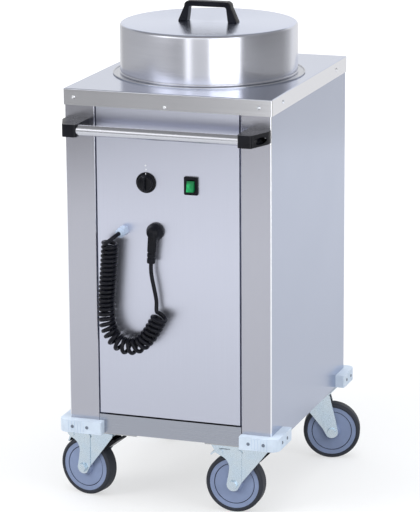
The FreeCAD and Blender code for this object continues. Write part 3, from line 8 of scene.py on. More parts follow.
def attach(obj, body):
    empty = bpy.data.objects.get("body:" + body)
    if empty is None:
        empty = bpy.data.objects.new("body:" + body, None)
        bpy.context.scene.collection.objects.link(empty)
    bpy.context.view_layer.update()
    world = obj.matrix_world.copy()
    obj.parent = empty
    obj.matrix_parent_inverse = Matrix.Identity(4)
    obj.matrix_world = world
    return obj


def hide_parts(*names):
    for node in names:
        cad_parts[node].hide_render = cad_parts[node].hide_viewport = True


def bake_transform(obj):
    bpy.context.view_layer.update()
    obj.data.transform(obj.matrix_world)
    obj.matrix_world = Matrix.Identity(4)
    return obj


# Heated plate dispenser cart. Metres, X right, -Y front, Z up, the floor is z = 0.

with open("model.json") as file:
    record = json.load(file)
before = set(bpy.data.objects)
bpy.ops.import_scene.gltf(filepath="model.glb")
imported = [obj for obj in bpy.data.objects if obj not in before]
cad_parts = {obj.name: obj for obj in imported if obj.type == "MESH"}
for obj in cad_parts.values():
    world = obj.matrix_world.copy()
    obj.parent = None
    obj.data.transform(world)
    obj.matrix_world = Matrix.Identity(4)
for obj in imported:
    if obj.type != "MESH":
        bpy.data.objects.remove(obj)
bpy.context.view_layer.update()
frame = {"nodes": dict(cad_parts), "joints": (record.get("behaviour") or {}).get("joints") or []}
nodes = frame["nodes"]
print("frame loaded:", len(nodes), "nodes")


# picking and shaping

def clearSelection():
    if bpy.context.object and bpy.context.object.mode != "OBJECT":
        bpy.ops.object.mode_set(mode="OBJECT")
    bpy.ops.object.select_all(action="DESELECT")


def namePiece(name):
    piece = bpy.context.object
    piece.name = name
    piece.data.name = name
    return piece


def activate(piece):
    clearSelection()
    bpy.context.view_layer.objects.active = piece
    piece.select_set(True)


def startEdit(piece):
    activate(piece)
    bpy.ops.object.mode_set(mode="EDIT")
    bpy.ops.mesh.select_all(action="DESELECT")


def endEdit():
    bpy.ops.object.mode_set(mode="OBJECT")


def pickParts(piece, kind, test):
    bpy.ops.mesh.select_mode(type=kind)
    bpy.ops.mesh.select_all(action="DESELECT")
    mesh = bmesh.from_edit_mesh(piece.data)
    for part in mesh.faces if kind == "FACE" else mesh.edges:
        if test(part):
            part.select_set(True)
    bmesh.update_edit_mesh(piece.data)


def pickFaces(piece, test):
    # by the face's centre and normal
    pickParts(piece, "FACE", lambda face: test(face.calc_center_median(), face.normal))


def pickEdges(piece, test):
    # by the edge's middle and its run
    pickParts(piece, "EDGE", lambda edge: test((edge.verts[0].co + edge.verts[1].co) / 2,
                                               edge.verts[1].co - edge.verts[0].co))


def move(x=0, y=0, z=0):
    bpy.ops.transform.translate(value=(x, y, z))


def extrude(x=0, y=0, z=0):
    bpy.ops.mesh.extrude_region_move(TRANSFORM_OT_translate={"value": (x, y, z)})


def resize(x, y, z, centre):
    bpy.ops.transform.resize(value=(x, y, z), center_override=centre)


def bevelEdges(width, segments):
    bpy.ops.mesh.bevel(offset=width, segments=segments, affect="EDGES")


def addBlock(name, low, high):
    clearSelection()
    centre = [(a + b) / 2 for a, b in zip(low, high)]
    bpy.ops.mesh.primitive_cube_add(size=1, location=centre)
    block = namePiece(name)
    block.scale = [b - a for a, b in zip(low, high)]
    bpy.ops.object.transform_apply()
    return block


def weld(distance):
    # joins double points and turns the faces outwards
    bpy.ops.mesh.select_all(action="SELECT")
    bpy.ops.mesh.remove_doubles(threshold=distance)
    bpy.ops.mesh.normals_make_consistent(inside=False)


def applyModifiers(piece):
    activate(piece)
    for modifier in list(piece.modifiers):
        bpy.ops.object.modifier_apply(modifier=modifier.name)


def softenEdges(piece, width, segments=2, angle=35):
    bevel = piece.modifiers.new("softEdges", "BEVEL")
    bevel.width = width
    bevel.segments = segments
    bevel.limit_method = "ANGLE"
    bevel.angle_limit = math.radians(angle)
    applyModifiers(piece)


def steadyFaces(piece):
    # the shading of large flat faces stays flat, so that only the softened edges curve
    weighted = piece.modifiers.new("steadyFaces", "WEIGHTED_NORMAL")
    weighted.keep_sharp = True
    weighted.weight = 90
    applyModifiers(piece)


def thicken(piece, wall):
    shell = piece.modifiers.new("wall", "SOLIDIFY")
    shell.thickness = wall
    shell.offset = -1
    applyModifiers(piece)


def smooth(piece, angle=38):
    activate(piece)
    bpy.ops.object.shade_smooth_by_angle(angle=math.radians(angle))


def placePiece(piece, matrix):
    # the place goes into the mesh, so the object stays at the origin
    piece.matrix_world = matrix
    activate(piece)
    bpy.ops.object.transform_apply()
    return piece


def joinPieces(first, *others):
    clearSelection()
    for piece in others:
        piece.select_set(True)
    first.select_set(True)
    bpy.context.view_layer.objects.active = first
    bpy.ops.object.join()
    return first


def copyPiece(piece, name):
    copy = bpy.data.objects.new(name, piece.data.copy())
    bpy.context.scene.collection.objects.link(copy)
    return copy


def roundedCopy(nodeName, name, width, segments=2, reshape=None):
    # a copy of a CAD node with its triangles joined up, reshaped where asked, and its edges softened
    piece = copyPiece(nodes[nodeName], name)
    startEdit(piece)
    bpy.ops.mesh.select_all(action="SELECT")
    bpy.ops.mesh.remove_doubles(threshold=0.00002)
    bpy.ops.mesh.customdata_custom_splitnormals_clear()
    bpy.ops.mesh.dissolve_limited(angle_limit=math.radians(1))
    if reshape:
        reshape(piece)
    endEdit()
    softenEdges(piece, width, segments, 30)
    smooth(piece, 50)
    steadyFaces(piece)
    return piece


def turnedPiece(name, steps, count=64):
    # a ring is extruded and scaled from step to step, each one (radius, height) about the Z axis
    clearSelection()
    first = steps[0]
    bpy.ops.mesh.primitive_circle_add(vertices=count, radius=first[0], location=(0, 0, first[1]))
    piece = namePiece(name)
    bpy.ops.object.transform_apply()
    startEdit(piece)
    bpy.ops.mesh.select_all(action="SELECT")
    radius, height = first
    for nextRadius, nextHeight in steps[1:]:
        bpy.ops.mesh.extrude_edges_move(TRANSFORM_OT_translate={"value": (0, 0, nextHeight - height)})
        ratio = max(nextRadius, 0.000001) / radius
        resize(ratio, ratio, 1, (0, 0, nextHeight))
        radius, height = max(nextRadius, 0.000001), nextHeight
    weld(0.00001)
    endEdit()
    return piece


def arcSteps(centreRadius, centreHeight, round, start, finish, count=5):
    # steps of a rounded edge, degrees from outwards (0) to up (90)
    steps = []
    for number in range(count + 1):
        angle = math.radians(start + (finish - start) * number / count)
        steps.append((centreRadius + round * math.cos(angle), centreHeight + round * math.sin(angle)))
    return steps


def facing(direction, place):
    # the matrix that stands a piece made along +Z on a place, facing a direction
    turn = Vector(direction).to_track_quat("Z", "Y").to_matrix().to_4x4()
    return Matrix.Translation(place) @ turn


def setMaterial(piece, material):
    piece.data.materials.clear()
    piece.data.materials.append(material)


def fitPiece(piece, body, material, slotName, *replaced):
    setMaterial(piece, material)
    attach(piece, body)
    if replaced:
        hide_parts(*replaced)
    return piece


def fitRounded(nodeName, name, body, finish, slotName, width, segments=2, reshape=None):
    return fitPiece(roundedCopy(nodeName, name, width, segments, reshape), body, finishes[finish], slotName, nodeName)


# camera

cameraSet = {"lens": 192.54, "place": (1.8556, -5.3574, 1.9269), "azimuth": 19.11, "elevation": 14.2, "roll": -0.35}

cameraData = bpy.data.cameras.new("photoCamera")
cameraData.lens = cameraSet["lens"]
cameraData.sensor_width = 36
cameraData.clip_end = 100
camera = bpy.data.objects.new("photoCamera", cameraData)
bpy.context.scene.collection.objects.link(camera)
aim = Euler((math.radians(90 - cameraSet["elevation"]), 0, math.radians(cameraSet["azimuth"]))).to_matrix()
aim = aim @ Matrix.Rotation(math.radians(cameraSet["roll"]), 3, "Z")
camera.matrix_world = Matrix.Translation(cameraSet["place"]) @ aim.to_4x4()
bpy.context.scene.camera = camera
bpy.context.scene.view_settings.view_transform = "Standard"
print("camera set")


# materials

def newMaterial(name, colour, roughness, metallic=0.0, specular=0.5):
    material = bpy.data.materials.new(name)
    material.use_nodes = True
    sockets = material.node_tree.nodes["Principled BSDF"].inputs
    sockets["Base Color"].default_value = (*colour, 1)
    sockets["Roughness"].default_value = roughness
    sockets["Metallic"].default_value = metallic
    sockets["Specular IOR Level"].default_value = specular
    return material


def feed(tree, socket, value):
    # the value is a number, a colour of three numbers, or the output of another node
    if isinstance(value, bpy.types.NodeSocket):
        tree.links.new(value, socket)
    elif isinstance(value, tuple):
        socket.default_value = (*value, 1)
    else:
        socket.default_value = value


def calculate(tree, operation, first, second=0.0):
    node = tree.nodes.new("ShaderNodeMath")
    node.operation = operation
    feed(tree, node.inputs[0], first)
    feed(tree, node.inputs[1], second)
    return node.outputs["Value"]


def mapValue(tree, value, fromLow, fromHigh, low=0.0, high=1.0):
    ranged = tree.nodes.new("ShaderNodeMapRange")
    for socket, number in (("From Min", fromLow), ("From Max", fromHigh), ("To Min", low), ("To Max", high)):
        ranged.inputs[socket].default_value = number
    tree.links.new(value, ranged.inputs["Value"])
    return ranged.outputs["Result"]


def splitVector(tree, vector):
    parts = tree.nodes.new("ShaderNodeSeparateXYZ")
    tree.links.new(vector, parts.inputs["Vector"])
    return parts.outputs


def joinVector(tree, **values):
    joined = tree.nodes.new("ShaderNodeCombineXYZ")
    for socket, value in values.items():
        tree.links.new(value, joined.inputs[socket])
    return joined.outputs["Vector"]


def measureVector(tree, operation, vector):
    node = tree.nodes.new("ShaderNodeVectorMath")
    node.operation = operation
    tree.links.new(vector, node.inputs[0])
    return node.outputs["Value" if operation == "LENGTH" else "Vector"]


def objectPattern(material, stretch=(1, 1, 1), shift=(0, 0, 0)):
    tree = material.node_tree
    coordinates = tree.nodes.new("ShaderNodeTexCoord")
    mapping = tree.nodes.new("ShaderNodeMapping")
    mapping.inputs["Scale"].default_value = stretch
    mapping.inputs["Location"].default_value = shift
    tree.links.new(coordinates.outputs["Object"], mapping.inputs["Vector"])
    return mapping.outputs["Vector"]


def placeAlong(material, axis, low, high, bothSides=False):
    # 0 to 1 from one place to another along X, Y or Z, or out from the middle to both sides
    tree = material.node_tree
    source = splitVector(tree, objectPattern(material))[axis]
    if bothSides:
        source = calculate(tree, "ABSOLUTE", source)
    return mapValue(tree, source, low, high)


def roundPattern(material, acrossScale, heightScale, turnScale, centre=(0, 0, 0), axis="Z"):
    # coordinates that follow a turned piece: distance from the axis, height, and a slow change round it
    tree = material.node_tree
    parts = splitVector(tree, objectPattern(material, shift=[-value for value in centre]))
    first, second, along = {"Z": ("X", "Y", "Z"), "X": ("Y", "Z", "X")}[axis]
    flat = joinVector(tree, X=parts[first], Y=parts[second])
    distance = measureVector(tree, "LENGTH", flat)
    # the turn's cosine changes smoothly all the way round
    around = splitVector(tree, measureVector(tree, "NORMALIZE", flat))["X"]
    return joinVector(tree, X=calculate(tree, "MULTIPLY", distance, acrossScale),
                      Y=calculate(tree, "MULTIPLY", parts[along], heightScale),
                      Z=calculate(tree, "MULTIPLY", around, turnScale))


def noiseOn(material, vector, scale, detail=3.0, rough=0.5):
    noise = material.node_tree.nodes.new("ShaderNodeTexNoise")
    noise.inputs["Scale"].default_value = scale
    noise.inputs["Detail"].default_value = detail
    noise.inputs["Roughness"].default_value = rough
    material.node_tree.links.new(vector, noise.inputs["Vector"])
    return noise.outputs["Fac"]


def spread(material, factor, low, high, fromLow=0.35, fromHigh=0.65):
    # stretches a noise from its middle range to the values wanted
    return mapValue(material.node_tree, factor, fromLow, fromHigh, low, high)


def blendColours(material, factor, first, second, kind="MIX"):
    tree = material.node_tree
    mix = tree.nodes.new("ShaderNodeMix")
    mix.data_type = "RGBA"
    mix.blend_type = kind
    for socket, value in (("A", first), ("B", second), ("Factor", factor)):
        feed(tree, mix.inputs[socket], value)
    return mix.outputs["Result"]


def wire(material, output, socket):
    material.node_tree.links.new(output, material.node_tree.nodes["Principled BSDF"].inputs[socket])


def addBump(material, factor, depth, strength):
    bump = material.node_tree.nodes.new("ShaderNodeBump")
    bump.inputs["Distance"].default_value = depth
    bump.inputs["Strength"].default_value = strength
    material.node_tree.links.new(factor, bump.inputs["Height"])
    wire(material, bump.outputs["Normal"], "Normal")


def stretchShine(material, amount, turn=0.0):
    # brushed and spun sheet spreads a reflection across its grain
    shader = material.node_tree.nodes["Principled BSDF"]
    shader.inputs["Anisotropic"].default_value = amount
    shader.inputs["Anisotropic Rotation"].default_value = turn
    tangent = material.node_tree.nodes.new("ShaderNodeTangent")
    tangent.direction_type = "RADIAL"
    tangent.axis = "Z"
    wire(material, tangent.outputs["Tangent"], "Tangent")


# where the posts' front corners bend, out from the middle and to the front, and the painted highlight colour on the
# bend
foldSet = {"across": (0.2188, 0.2200), "front": (-0.2598, -0.2612), "colour": (0.92, 0.93, 0.97)}


# a lighter colour on the bends: a painted highlight along the posts' front corners
def paintedFoldHighlight(material, sheet):
    bend = calculate(material.node_tree, "MULTIPLY", placeAlong(material, "X", *foldSet["across"], True),
                     placeAlong(material, "Y", *foldSet["front"]))
    return blendColours(material, bend, sheet, foldSet["colour"])


def brushedSteel(name, colour, roughness, grain, other=None, line=None, fold=False):
    # rolled and brushed sheet: fine streaks along the grain and slow clouds from handling;
    # other is the colour past a line, given as an axis and the two places between which it changes
    material = newMaterial(name, colour, roughness, metallic=1.0)
    wear, cloudSize = 0.015, 5.0
    streaks = noiseOn(material, objectPattern(material, grain), 1.0, 4.0, 0.6)
    clouds = noiseOn(material, objectPattern(material), cloudSize, 2.0)
    sheet = blendColours(material, placeAlong(material, *line), colour, other) if other else colour
    # fold paints a highlight colour on the posts' front bends
    if fold:
        sheet = paintedFoldHighlight(material, sheet)
    grainTone = blendColours(material, spread(material, streaks, 0, 1, 0.25, 0.75), (0.96, 0.96, 0.96), (1, 1, 1))
    wire(material, blendColours(material, 1.0, sheet, grainTone, "MULTIPLY"), "Base Color")
    streakShine = spread(material, streaks, roughness - wear, roughness + wear)
    cloudShine = spread(material, clouds, -wear / 2, wear / 2)
    wire(material, calculate(material.node_tree, "ADD", streakShine, cloudShine), "Roughness")
    addBump(material, streaks, 0.00001, 0.12)
    return material


def spunSteel(name, colour, roughness, across, height, centre=(0, 0, 0), axis="Z", other=None, line=None):
    # turned or spun sheet: fine rings about the axis
    material = newMaterial(name, colour, roughness, metallic=1.0)
    wear, turnScale = 0.025, 0.8
    sheet = blendColours(material, placeAlong(material, *line), colour, other) if other else colour
    rings = noiseOn(material, roundPattern(material, across, height, turnScale, centre, axis), 1.0, 4.0, 0.6)
    ringTone = blendColours(material, spread(material, rings, 0, 1, 0.25, 0.75), (0.93, 0.93, 0.93), (1, 1, 1))
    wire(material, blendColours(material, 1.0, sheet, ringTone, "MULTIPLY"), "Base Color")
    wire(material, spread(material, rings, roughness - wear, roughness + wear), "Roughness")
    addBump(material, rings, 0.00001, 0.15)
    return material


def moulding(name, colour, roughness, speckle=900, depth=0.00005, shift=0.15, specular=0.5):
    # moulded plastic or rubber: a fine eroded grain, with slow dull and shiny patches
    material = newMaterial(name, colour, roughness, specular=specular)
    patchSize, wear = 28.0, 0.07
    vector = objectPattern(material)
    fine = noiseOn(material, vector, speckle, 2.0)
    slow = noiseOn(material, vector, patchSize, 3.0)
    darker = tuple(value * (1 - shift) for value in colour)
    lighter = tuple(min(value * (1 + shift), 1) for value in colour)
    wire(material, blendColours(material, spread(material, slow, 0, 1), darker, lighter), "Base Color")
    wire(material, spread(material, slow, max(roughness - wear, 0.05), roughness + wear), "Roughness")
    addBump(material, fine, depth, 0.4)
    return material


def zincPlate(name, colour, roughness):
    # bright zinc plating: small crystals and a faint change of tint
    material = newMaterial(name, colour, roughness, metallic=1.0)
    crystalSize, cloudSize = 260, 35.0
    vector = objectPattern(material)
    crystals = material.node_tree.nodes.new("ShaderNodeTexVoronoi")
    crystals.inputs["Scale"].default_value = crystalSize
    material.node_tree.links.new(vector, crystals.inputs["Vector"])
    clouds = noiseOn(material, vector, cloudSize, 3.0)
    cooler = (colour[0] * 0.93, colour[1] * 0.97, min(colour[2] * 1.02, 1))
    wire(material, blendColours(material, spread(material, clouds, 0, 1), cooler, colour), "Base Color")
    wire(material, spread(material, crystals.outputs["Distance"], roughness - 0.02, roughness + 0.03, 0.0, 0.8),
         "Roughness")
    addBump(material, clouds, 0.00008, 0.25)
    return material


finishes = {
    # the posts' colour changes to the sides' behind the front bends: the side faces of the same sheet are painted
    # lighter and bluer, painted light of how they face the lamps
    "sideSheet": brushedSteel("sideSteel", (0.46, 0.465, 0.52), 0.25, (900, 900, 4),
                              other=(0.48, 0.52, 0.64), line=("Y", -0.2628, -0.2602), fold=True),
    # the panel is painted darker towards the bottom: painted shade standing for the darker reflection low down
    "panel": brushedSteel("panelSteel", (0.54, 0.56, 0.65), 0.30, (900, 900, 4),
                          other=(0.60, 0.62, 0.72), line=("Z", 0.22, 0.55)),
    # the plate's top face is painted darker and bluer than its skirt: a painted reflection of the lid
    "skirt": brushedSteel("topSteel", (0.77, 0.775, 0.815), 0.18, (3, 900, 900),
                          other=(0.645, 0.69, 0.83), line=("Z", 0.8895, 0.8917)),
    "rail": brushedSteel("railSteel", (0.362, 0.381, 0.434), 0.26, (4, 900, 900)),
    "hidden": brushedSteel("innerSteel", (0.42, 0.43, 0.45), 0.42, (4, 700, 700)),
    "well": spunSteel("wellSteel", (0.60, 0.62, 0.68), 0.22, 1500, 900),
    # the lid's top face is painted lighter and bluer than its wall: painted light on the top
    "lid": spunSteel("lidSteel", (0.73, 0.745, 0.82), 0.21, 1600, 1600,
                     other=(0.74, 0.80, 0.98), line=("Z", 0.9955, 0.9983)),
    "bar": spunSteel("barSteel", (0.62, 0.63, 0.68), 0.22, 300, 1800, (0, -0.317, 0.818), "X"),
    "zinc": zincPlate("zincPlate", (0.59, 0.67, 0.73), 0.25),
    "fastener": zincPlate("screwSteel", (0.86, 0.87, 0.90), 0.20),
    "bumperScrew": zincPlate("bumperScrewSteel", (0.20, 0.23, 0.28), 0.35),
    "black": moulding("blackMoulding", (0.005, 0.0055, 0.009), 0.30, specular=0.15),
    "bracket": moulding("bracketMoulding", (0.006, 0.0065, 0.010), 0.30, specular=0.18),
    "knob": moulding("knobMoulding", (0.005, 0.0055, 0.009), 0.30, specular=0.16),
    "cord": moulding("cordSheath", (0.005, 0.0055, 0.010), 0.30, speckle=1400, depth=0.00002, specular=0.17),
    "bumper": moulding("bumperMoulding", (0.73, 0.83, 0.95), 0.45, speckle=700, shift=0.05),
    "disc": moulding("wheelDisc", (0.285, 0.35, 0.53), 0.42, speckle=800, shift=0.06, specular=0.35),
    "tyre": moulding("tyreRubber", (0.032, 0.036, 0.048), 0.58, depth=0.00008, shift=0.1, specular=0.3),
    "gland": moulding("glandMoulding", (0.53, 0.63, 0.78), 0.35, speckle=600, shift=0.05),
    "heater": moulding("heaterSheath", (0.10, 0.085, 0.075), 0.45, speckle=500, shift=0.3),
    "spring": zincPlate("springWire", (0.55, 0.56, 0.58), 0.3),
    "paint": moulding("whitePaint", (0.88, 0.89, 0.92), 0.5, speckle=1500, depth=0.00001, shift=0.03),
}


# the lens glows faintly; its colour has painted light in lighter patches and painted shade darker towards its right
# and top, between the places given
lensSet = {"dim": (0.0, 0.20, 0.055), "lit": (0.02, 0.42, 0.13), "right": (0.0, 0.09, 0.03),
           "rightFrom": (0.0495, 0.0590), "top": (0.0, 0.07, 0.025), "topFrom": (0.7075, 0.7140),
           "glow": (0.0, 0.50, 0.13), "strength": 0.18}


def greenLens():
    material = newMaterial("greenLens", lensSet["dim"], 0.2, specular=0.4)
    vector = objectPattern(material)
    glow = noiseOn(material, vector, 90.0, 1.0)
    # painted light in patches over the dim green, then painted shade towards the right and the top
    lit = blendColours(material, spread(material, glow, 0, 1), lensSet["dim"], lensSet["lit"])
    lit = blendColours(material, placeAlong(material, "X", *lensSet["rightFrom"]), lit, lensSet["right"])
    wire(material, blendColours(material, placeAlong(material, "Z", *lensSet["topFrom"]), lit, lensSet["top"]),
         "Base Color")
    shader = material.node_tree.nodes["Principled BSDF"]
    shader.inputs["Emission Color"].default_value = (*lensSet["glow"], 1)
    shader.inputs["Emission Strength"].default_value = lensSet["strength"]
    addBump(material, noiseOn(material, vector, 500.0, 2.0), 0.00003, 0.3)
    return material


finishes["lens"] = greenLens()
for name in ("panel", "sideSheet"):
    stretchShine(finishes[name], 0.65)
stretchShine(finishes["lid"], 0.5, 0.25)

corners = ("front_left", "front_right", "rear_right", "rear_left")
nodeFinishes = {
    "sideSheet": ["left_side_panel", "right_side_panel"],
    "panel": ["front_panel"],
    "rail": ["bottom_rail", "rear_panel"],
    "hidden": ["base_plate", "plate_carrier", "guide_rods"],
    "skirt": ["top_plate"],
    "well": ["plate_tube"],
    "lid": ["lid"],
    "bar": ["push_bar"],
    "zinc": ["caster_bolts", "front_left_brake_shoe", "front_right_brake_shoe"]
            + [corner + end for corner in corners for end in ("_caster_plate", "_fork", "_axle")],
    "fastener": ["cabinet_screws", "bumper_screws", "lid_handle_screws"],
    "bracket": ["left_bar_bracket", "right_bar_bracket"],
    "black": ["lid_handle", "thermostat", "switch_housing", "plug_holder", "plug",
              "front_left_brake_pedal", "front_right_brake_pedal"],
    "knob": ["knob"],
    "lens": ["rocker"],
    "gland": ["cable_gland", "gland_nut"],
    "heater": ["heating_element"],
    "spring": ["carrier_springs"],
    "cord": ["cord_coil", "cord_gland_end", "cord_plug_end"],
    "bumper": [corner + "_bumper" for corner in corners],
    "disc": [corner + "_wheel" for corner in corners],
    "tyre": [corner + "_tyre" for corner in corners],
}
for finish, names in nodeFinishes.items():
    for name in names:
        for materialSlot in nodes[name].material_slots:
            materialSlot.material = finishes[finish]
print("finishes on the frame's nodes")


# curly lead: down from the gland, curled, round the bend and up to the plug

leadSet = {
    "thickness": 0.0084, "curlRadius": 0.0142, "panelFront": -0.2622, "curlOut": 0.027, "perTurn": 16,
    # the middle of the curls, across and up
    "middle": [(-0.1164, 0.581), (-0.121, 0.517), (-0.127, 0.446), (-0.125, 0.401), (-0.099, 0.364),
               (-0.060, 0.364), (-0.0345, 0.3885), (-0.0190, 0.4150), (-0.0085, 0.4345)],
    # distance along the middle and turns made up to there: the curls spread in the bend
    "turns": [(0.0, 0.0), (0.1404, 14.94), (0.1972, 20.28), (0.2707, 25.66)],
    "lastTurn": 32.5, "startPhase": -30,
    # across, out from the panel and up, before the curls and after them
    "fromGland": [(-0.0955, 0.031, 0.6025), (-0.0955, 0.047, 0.6025), (-0.1155, 0.0545, 0.5855),
                  (-0.1240, 0.0420, 0.5825)],
    "toPlug": [(-0.0206, 0.0175, 0.4455), (-0.0209, 0.0158, 0.4520), (-0.0209, 0.0150, 0.4600),
               (-0.0218, 0.0155, 0.4690), (-0.0243, 0.0165, 0.4840), (-0.0288, 0.0170, 0.5060),
               (-0.0325, 0.0170, 0.5290), (-0.0307, 0.0170, 0.5520)],
    "exit": (-0.0955, -0.2952, 0.6025), "length": 3.07,
}


def leadPoint(across, out, up):
    return Vector((across, leadSet["panelFront"] - out, up))


def nurbsCurve(name, points):
    curve = bpy.data.curves.new(name, "CURVE")
    curve.dimensions = "3D"
    spline = curve.splines.new("NURBS")
    spline.points.add(len(points) - 1)
    for controlPoint, point in zip(spline.points, points):
        controlPoint.co = (*point, 1)
    spline.order_u = 3
    spline.use_endpoint_u = True
    spline.resolution_u = 4
    return curve


def wireAlong(name, points, radius, roundness):
    curve = nurbsCurve(name, points)
    curve.bevel_depth = radius
    curve.bevel_resolution = roundness
    curve.use_fill_caps = True
    wirePiece = bpy.data.objects.new(name, curve)
    bpy.context.scene.collection.objects.link(wirePiece)
    return wirePiece


def readLine(curve):
    # the points of a curve with no bevel
    carrier = bpy.data.objects.new(curve.name, curve)
    line = bpy.data.meshes.new_from_object(carrier)
    points = [vertex.co.copy() for vertex in line.vertices]
    bpy.data.objects.remove(carrier)
    bpy.data.meshes.remove(line)
    return points


def turnsAt(distance, marks):
    # the turns made at a distance along the middle of the curls
    for (start, turnsStart), (finish, turnsFinish) in zip(marks, marks[1:]):
        if distance <= finish:
            break
    return turnsStart + (turnsFinish - turnsStart) * (distance - start) / (finish - start)


def curlPoints():
    middle = nurbsCurve("curlMiddle", [leadPoint(x, leadSet["curlOut"], z) for x, z in leadSet["middle"]])
    middle.splines[0].resolution_u = 40
    step = 0.00002
    line = readLine(middle)
    travelled = [0.0]
    for before, after in zip(line, line[1:]):
        travelled.append(travelled[-1] + (after - before).length)
    marks = leadSet["turns"] + [(travelled[-1], leadSet["lastTurn"])]
    total = leadSet["lastTurn"]
    count = round(total * leadSet["perTurn"])
    points = []
    distance, place = 0.0, 0
    for number in range(count + 1):
        wanted = total * number / count
        while turnsAt(distance, marks) < wanted and distance < travelled[-1]:
            distance += step
        while place < len(line) - 2 and travelled[place + 1] < distance:
            place += 1
        share = (distance - travelled[place]) / (travelled[place + 1] - travelled[place])
        centre = line[place].lerp(line[place + 1], min(share, 1))
        along = (line[min(place + 2, len(line) - 1)] - line[max(place - 1, 0)]).normalized()
        outer = Vector((along.z, 0, -along.x))
        phase = math.radians(leadSet["startPhase"] + 360 * wanted)
        points.append(centre + outer * (leadSet["curlRadius"] * math.cos(phase))
                      + Vector((0, leadSet["curlRadius"] * math.sin(phase), 0)))
    return points


leadRoute = [leadPoint(*point) for point in leadSet["fromGland"]]
leadRoute += curlPoints()
leadRoute += [leadPoint(*point) for point in leadSet["toPlug"]]
curlyLead = wireAlong("curlyLead", leadRoute, leadSet["thickness"] / 2, 4)
fitPiece(curlyLead, "cabinet", finishes["cord"], "cord_sheath", "cord_gland_end", "cord_coil", "cord_plug_end")
print("curly lead")


# plug: a round head that tapers from its face, a grooved neck that leans down to the lead, two pins

plugSet = {
    "across": -0.0265, "up": 0.605, "neckOut": 0.017, "lean": 4.5,
    "pinApart": 0.019, "pinRadius": 0.0024, "pinTip": -0.0168, "pinRoot": 0.0030,
    "grip": (0.0012, 0.0008, 0.0040), "grips": 4, "gripFrom": 58, "gripStep": 11, "gripOut": 0.0030,
    "gripRadius": 0.0180,
    # radius and distance from the panel
    "head": [(0.00001, 0.0021), (0.0175, 0.0021), (0.0184, 0.0030), (0.0185, 0.0042), (0.0184, 0.0068),
             (0.0178, 0.0085), (0.0165, 0.0110), (0.0150, 0.0145), (0.0136, 0.0180), (0.0120, 0.0210),
             (0.0098, 0.0232), (0.0070, 0.0245), (0.0035, 0.0250), (0.00001, 0.0250)],
    # radius and distance down the neck
    "neck": [(0.00001, -0.0100), (0.0030, -0.0099), (0.0050, -0.0096), (0.0068, -0.0088), (0.0080, -0.0078),
             (0.0090, -0.0062), (0.0095, -0.0045), (0.0100, 0.000), (0.0098, 0.020), (0.0094, 0.0378),
             (0.0091, 0.0390), (0.0080, 0.0398), (0.0078, 0.0410), (0.0080, 0.0421), (0.0090, 0.0428),
             (0.0091, 0.0440), (0.0090, 0.0482), (0.0088, 0.0492), (0.0078, 0.0498), (0.0076, 0.0510),
             (0.0078, 0.0521), (0.0087, 0.0528), (0.0088, 0.0540), (0.0087, 0.0600), (0.0084, 0.0624),
             (0.0077, 0.0630), (0.0048, 0.0630), (0.0043, 0.0630)],
}


def makePlug():
    across, up, panel = plugSet["across"], plugSet["up"], leadSet["panelFront"]
    head = turnedPiece("plugBody", plugSet["head"], 72)
    placePiece(head, facing((0, -1, 0), (across, panel, up)))
    neck = turnedPiece("plugNeck", plugSet["neck"], 56)
    lean = math.radians(plugSet["lean"])
    placePiece(neck, facing((-math.sin(lean), 0, -math.cos(lean)), (across, panel - plugSet["neckOut"], up)))
    pins, grips = [], []
    radius, tip, root = plugSet["pinRadius"], plugSet["pinTip"], plugSet["pinRoot"]
    for side in (-1, 1):
        pin = turnedPiece("plugPin", [(0.00001, tip), (radius * 0.6, tip), (radius, tip + 0.001), (radius, root),
                                      (0.00001, root)], 24)
        pins.append(placePiece(pin, facing((0, -1, 0), (across + side * plugSet["pinApart"] / 2, panel, up))))
    # the finger grips on the head's sides
    gripWide, gripDeep, gripLong = plugSet["grip"]
    middle = Vector((across, panel - plugSet["gripOut"], up))
    for side in (-1, 1):
        for number in range(plugSet["grips"]):
            grip = addBlock("plugGrip", (-gripWide / 2, -gripDeep / 2, 0), (gripWide / 2, gripDeep / 2, gripLong))
            softenEdges(grip, gripDeep / 2, 2)
            angle = math.radians(90 - side * (plugSet["gripFrom"] + plugSet["gripStep"] * number))
            spot = Vector((math.cos(angle), 0, math.sin(angle))) * plugSet["gripRadius"]
            stood = Matrix.Rotation(math.pi / 2 - angle, 4, "Y") @ Matrix.Rotation(math.radians(94), 4, "X")
            grips.append(placePiece(grip, Matrix.Translation(middle + spot) @ stood))
    joinPieces(head, neck, *pins, *grips)
    smooth(head, 40)
    return head


plugBody = makePlug()
fitPiece(plugBody, "cabinet", finishes["black"], "black_moulding", "plug")
print("plug on its lead")


# lid: a spun shell with a rolled hem, and its bridge handle

lidSet = {
    "radius": 0.1867, "low": 0.8936, "top": 0.9985, "round": 0.007, "wall": 0.0012,
    # distance out from the side and up from the rim
    "hem": [(-0.0006, 0.0001), (0.0002, 0), (0.0006, 0.0002), (0.0008, 0.0007), (0.0008, 0.0031), (0.0006, 0.0037),
            (0, 0.0042)],
    "sideSteps": (0.03, 0.06), "topSteps": (0.150, 0.100, 0.050, 0.00001),
}


def makeLid():
    radius, low, top, round = lidSet["radius"], lidSet["low"], lidSet["top"], lidSet["round"]
    steps = [(radius + out, low + up) for out, up in lidSet["hem"]]
    steps += [(radius, low + up) for up in lidSet["sideSteps"]]
    steps += arcSteps(radius - round, top - round, round, 0, 90, 8)
    steps += [(inwards, top) for inwards in lidSet["topSteps"]]
    lid = turnedPiece("spunLid", steps, 160)
    thicken(lid, lidSet["wall"])
    smooth(lid, 40)
    return lid


handleSet = {"top": 1.0415, "foot": 0.9985, "bar": 0.011, "width": 0.022, "footOut": 0.065, "footIn": 0.045,
             "barOut": 0.051, "barIn": 0.041, "round": 0.010, "inner": 0.004, "edge": 0.0032}


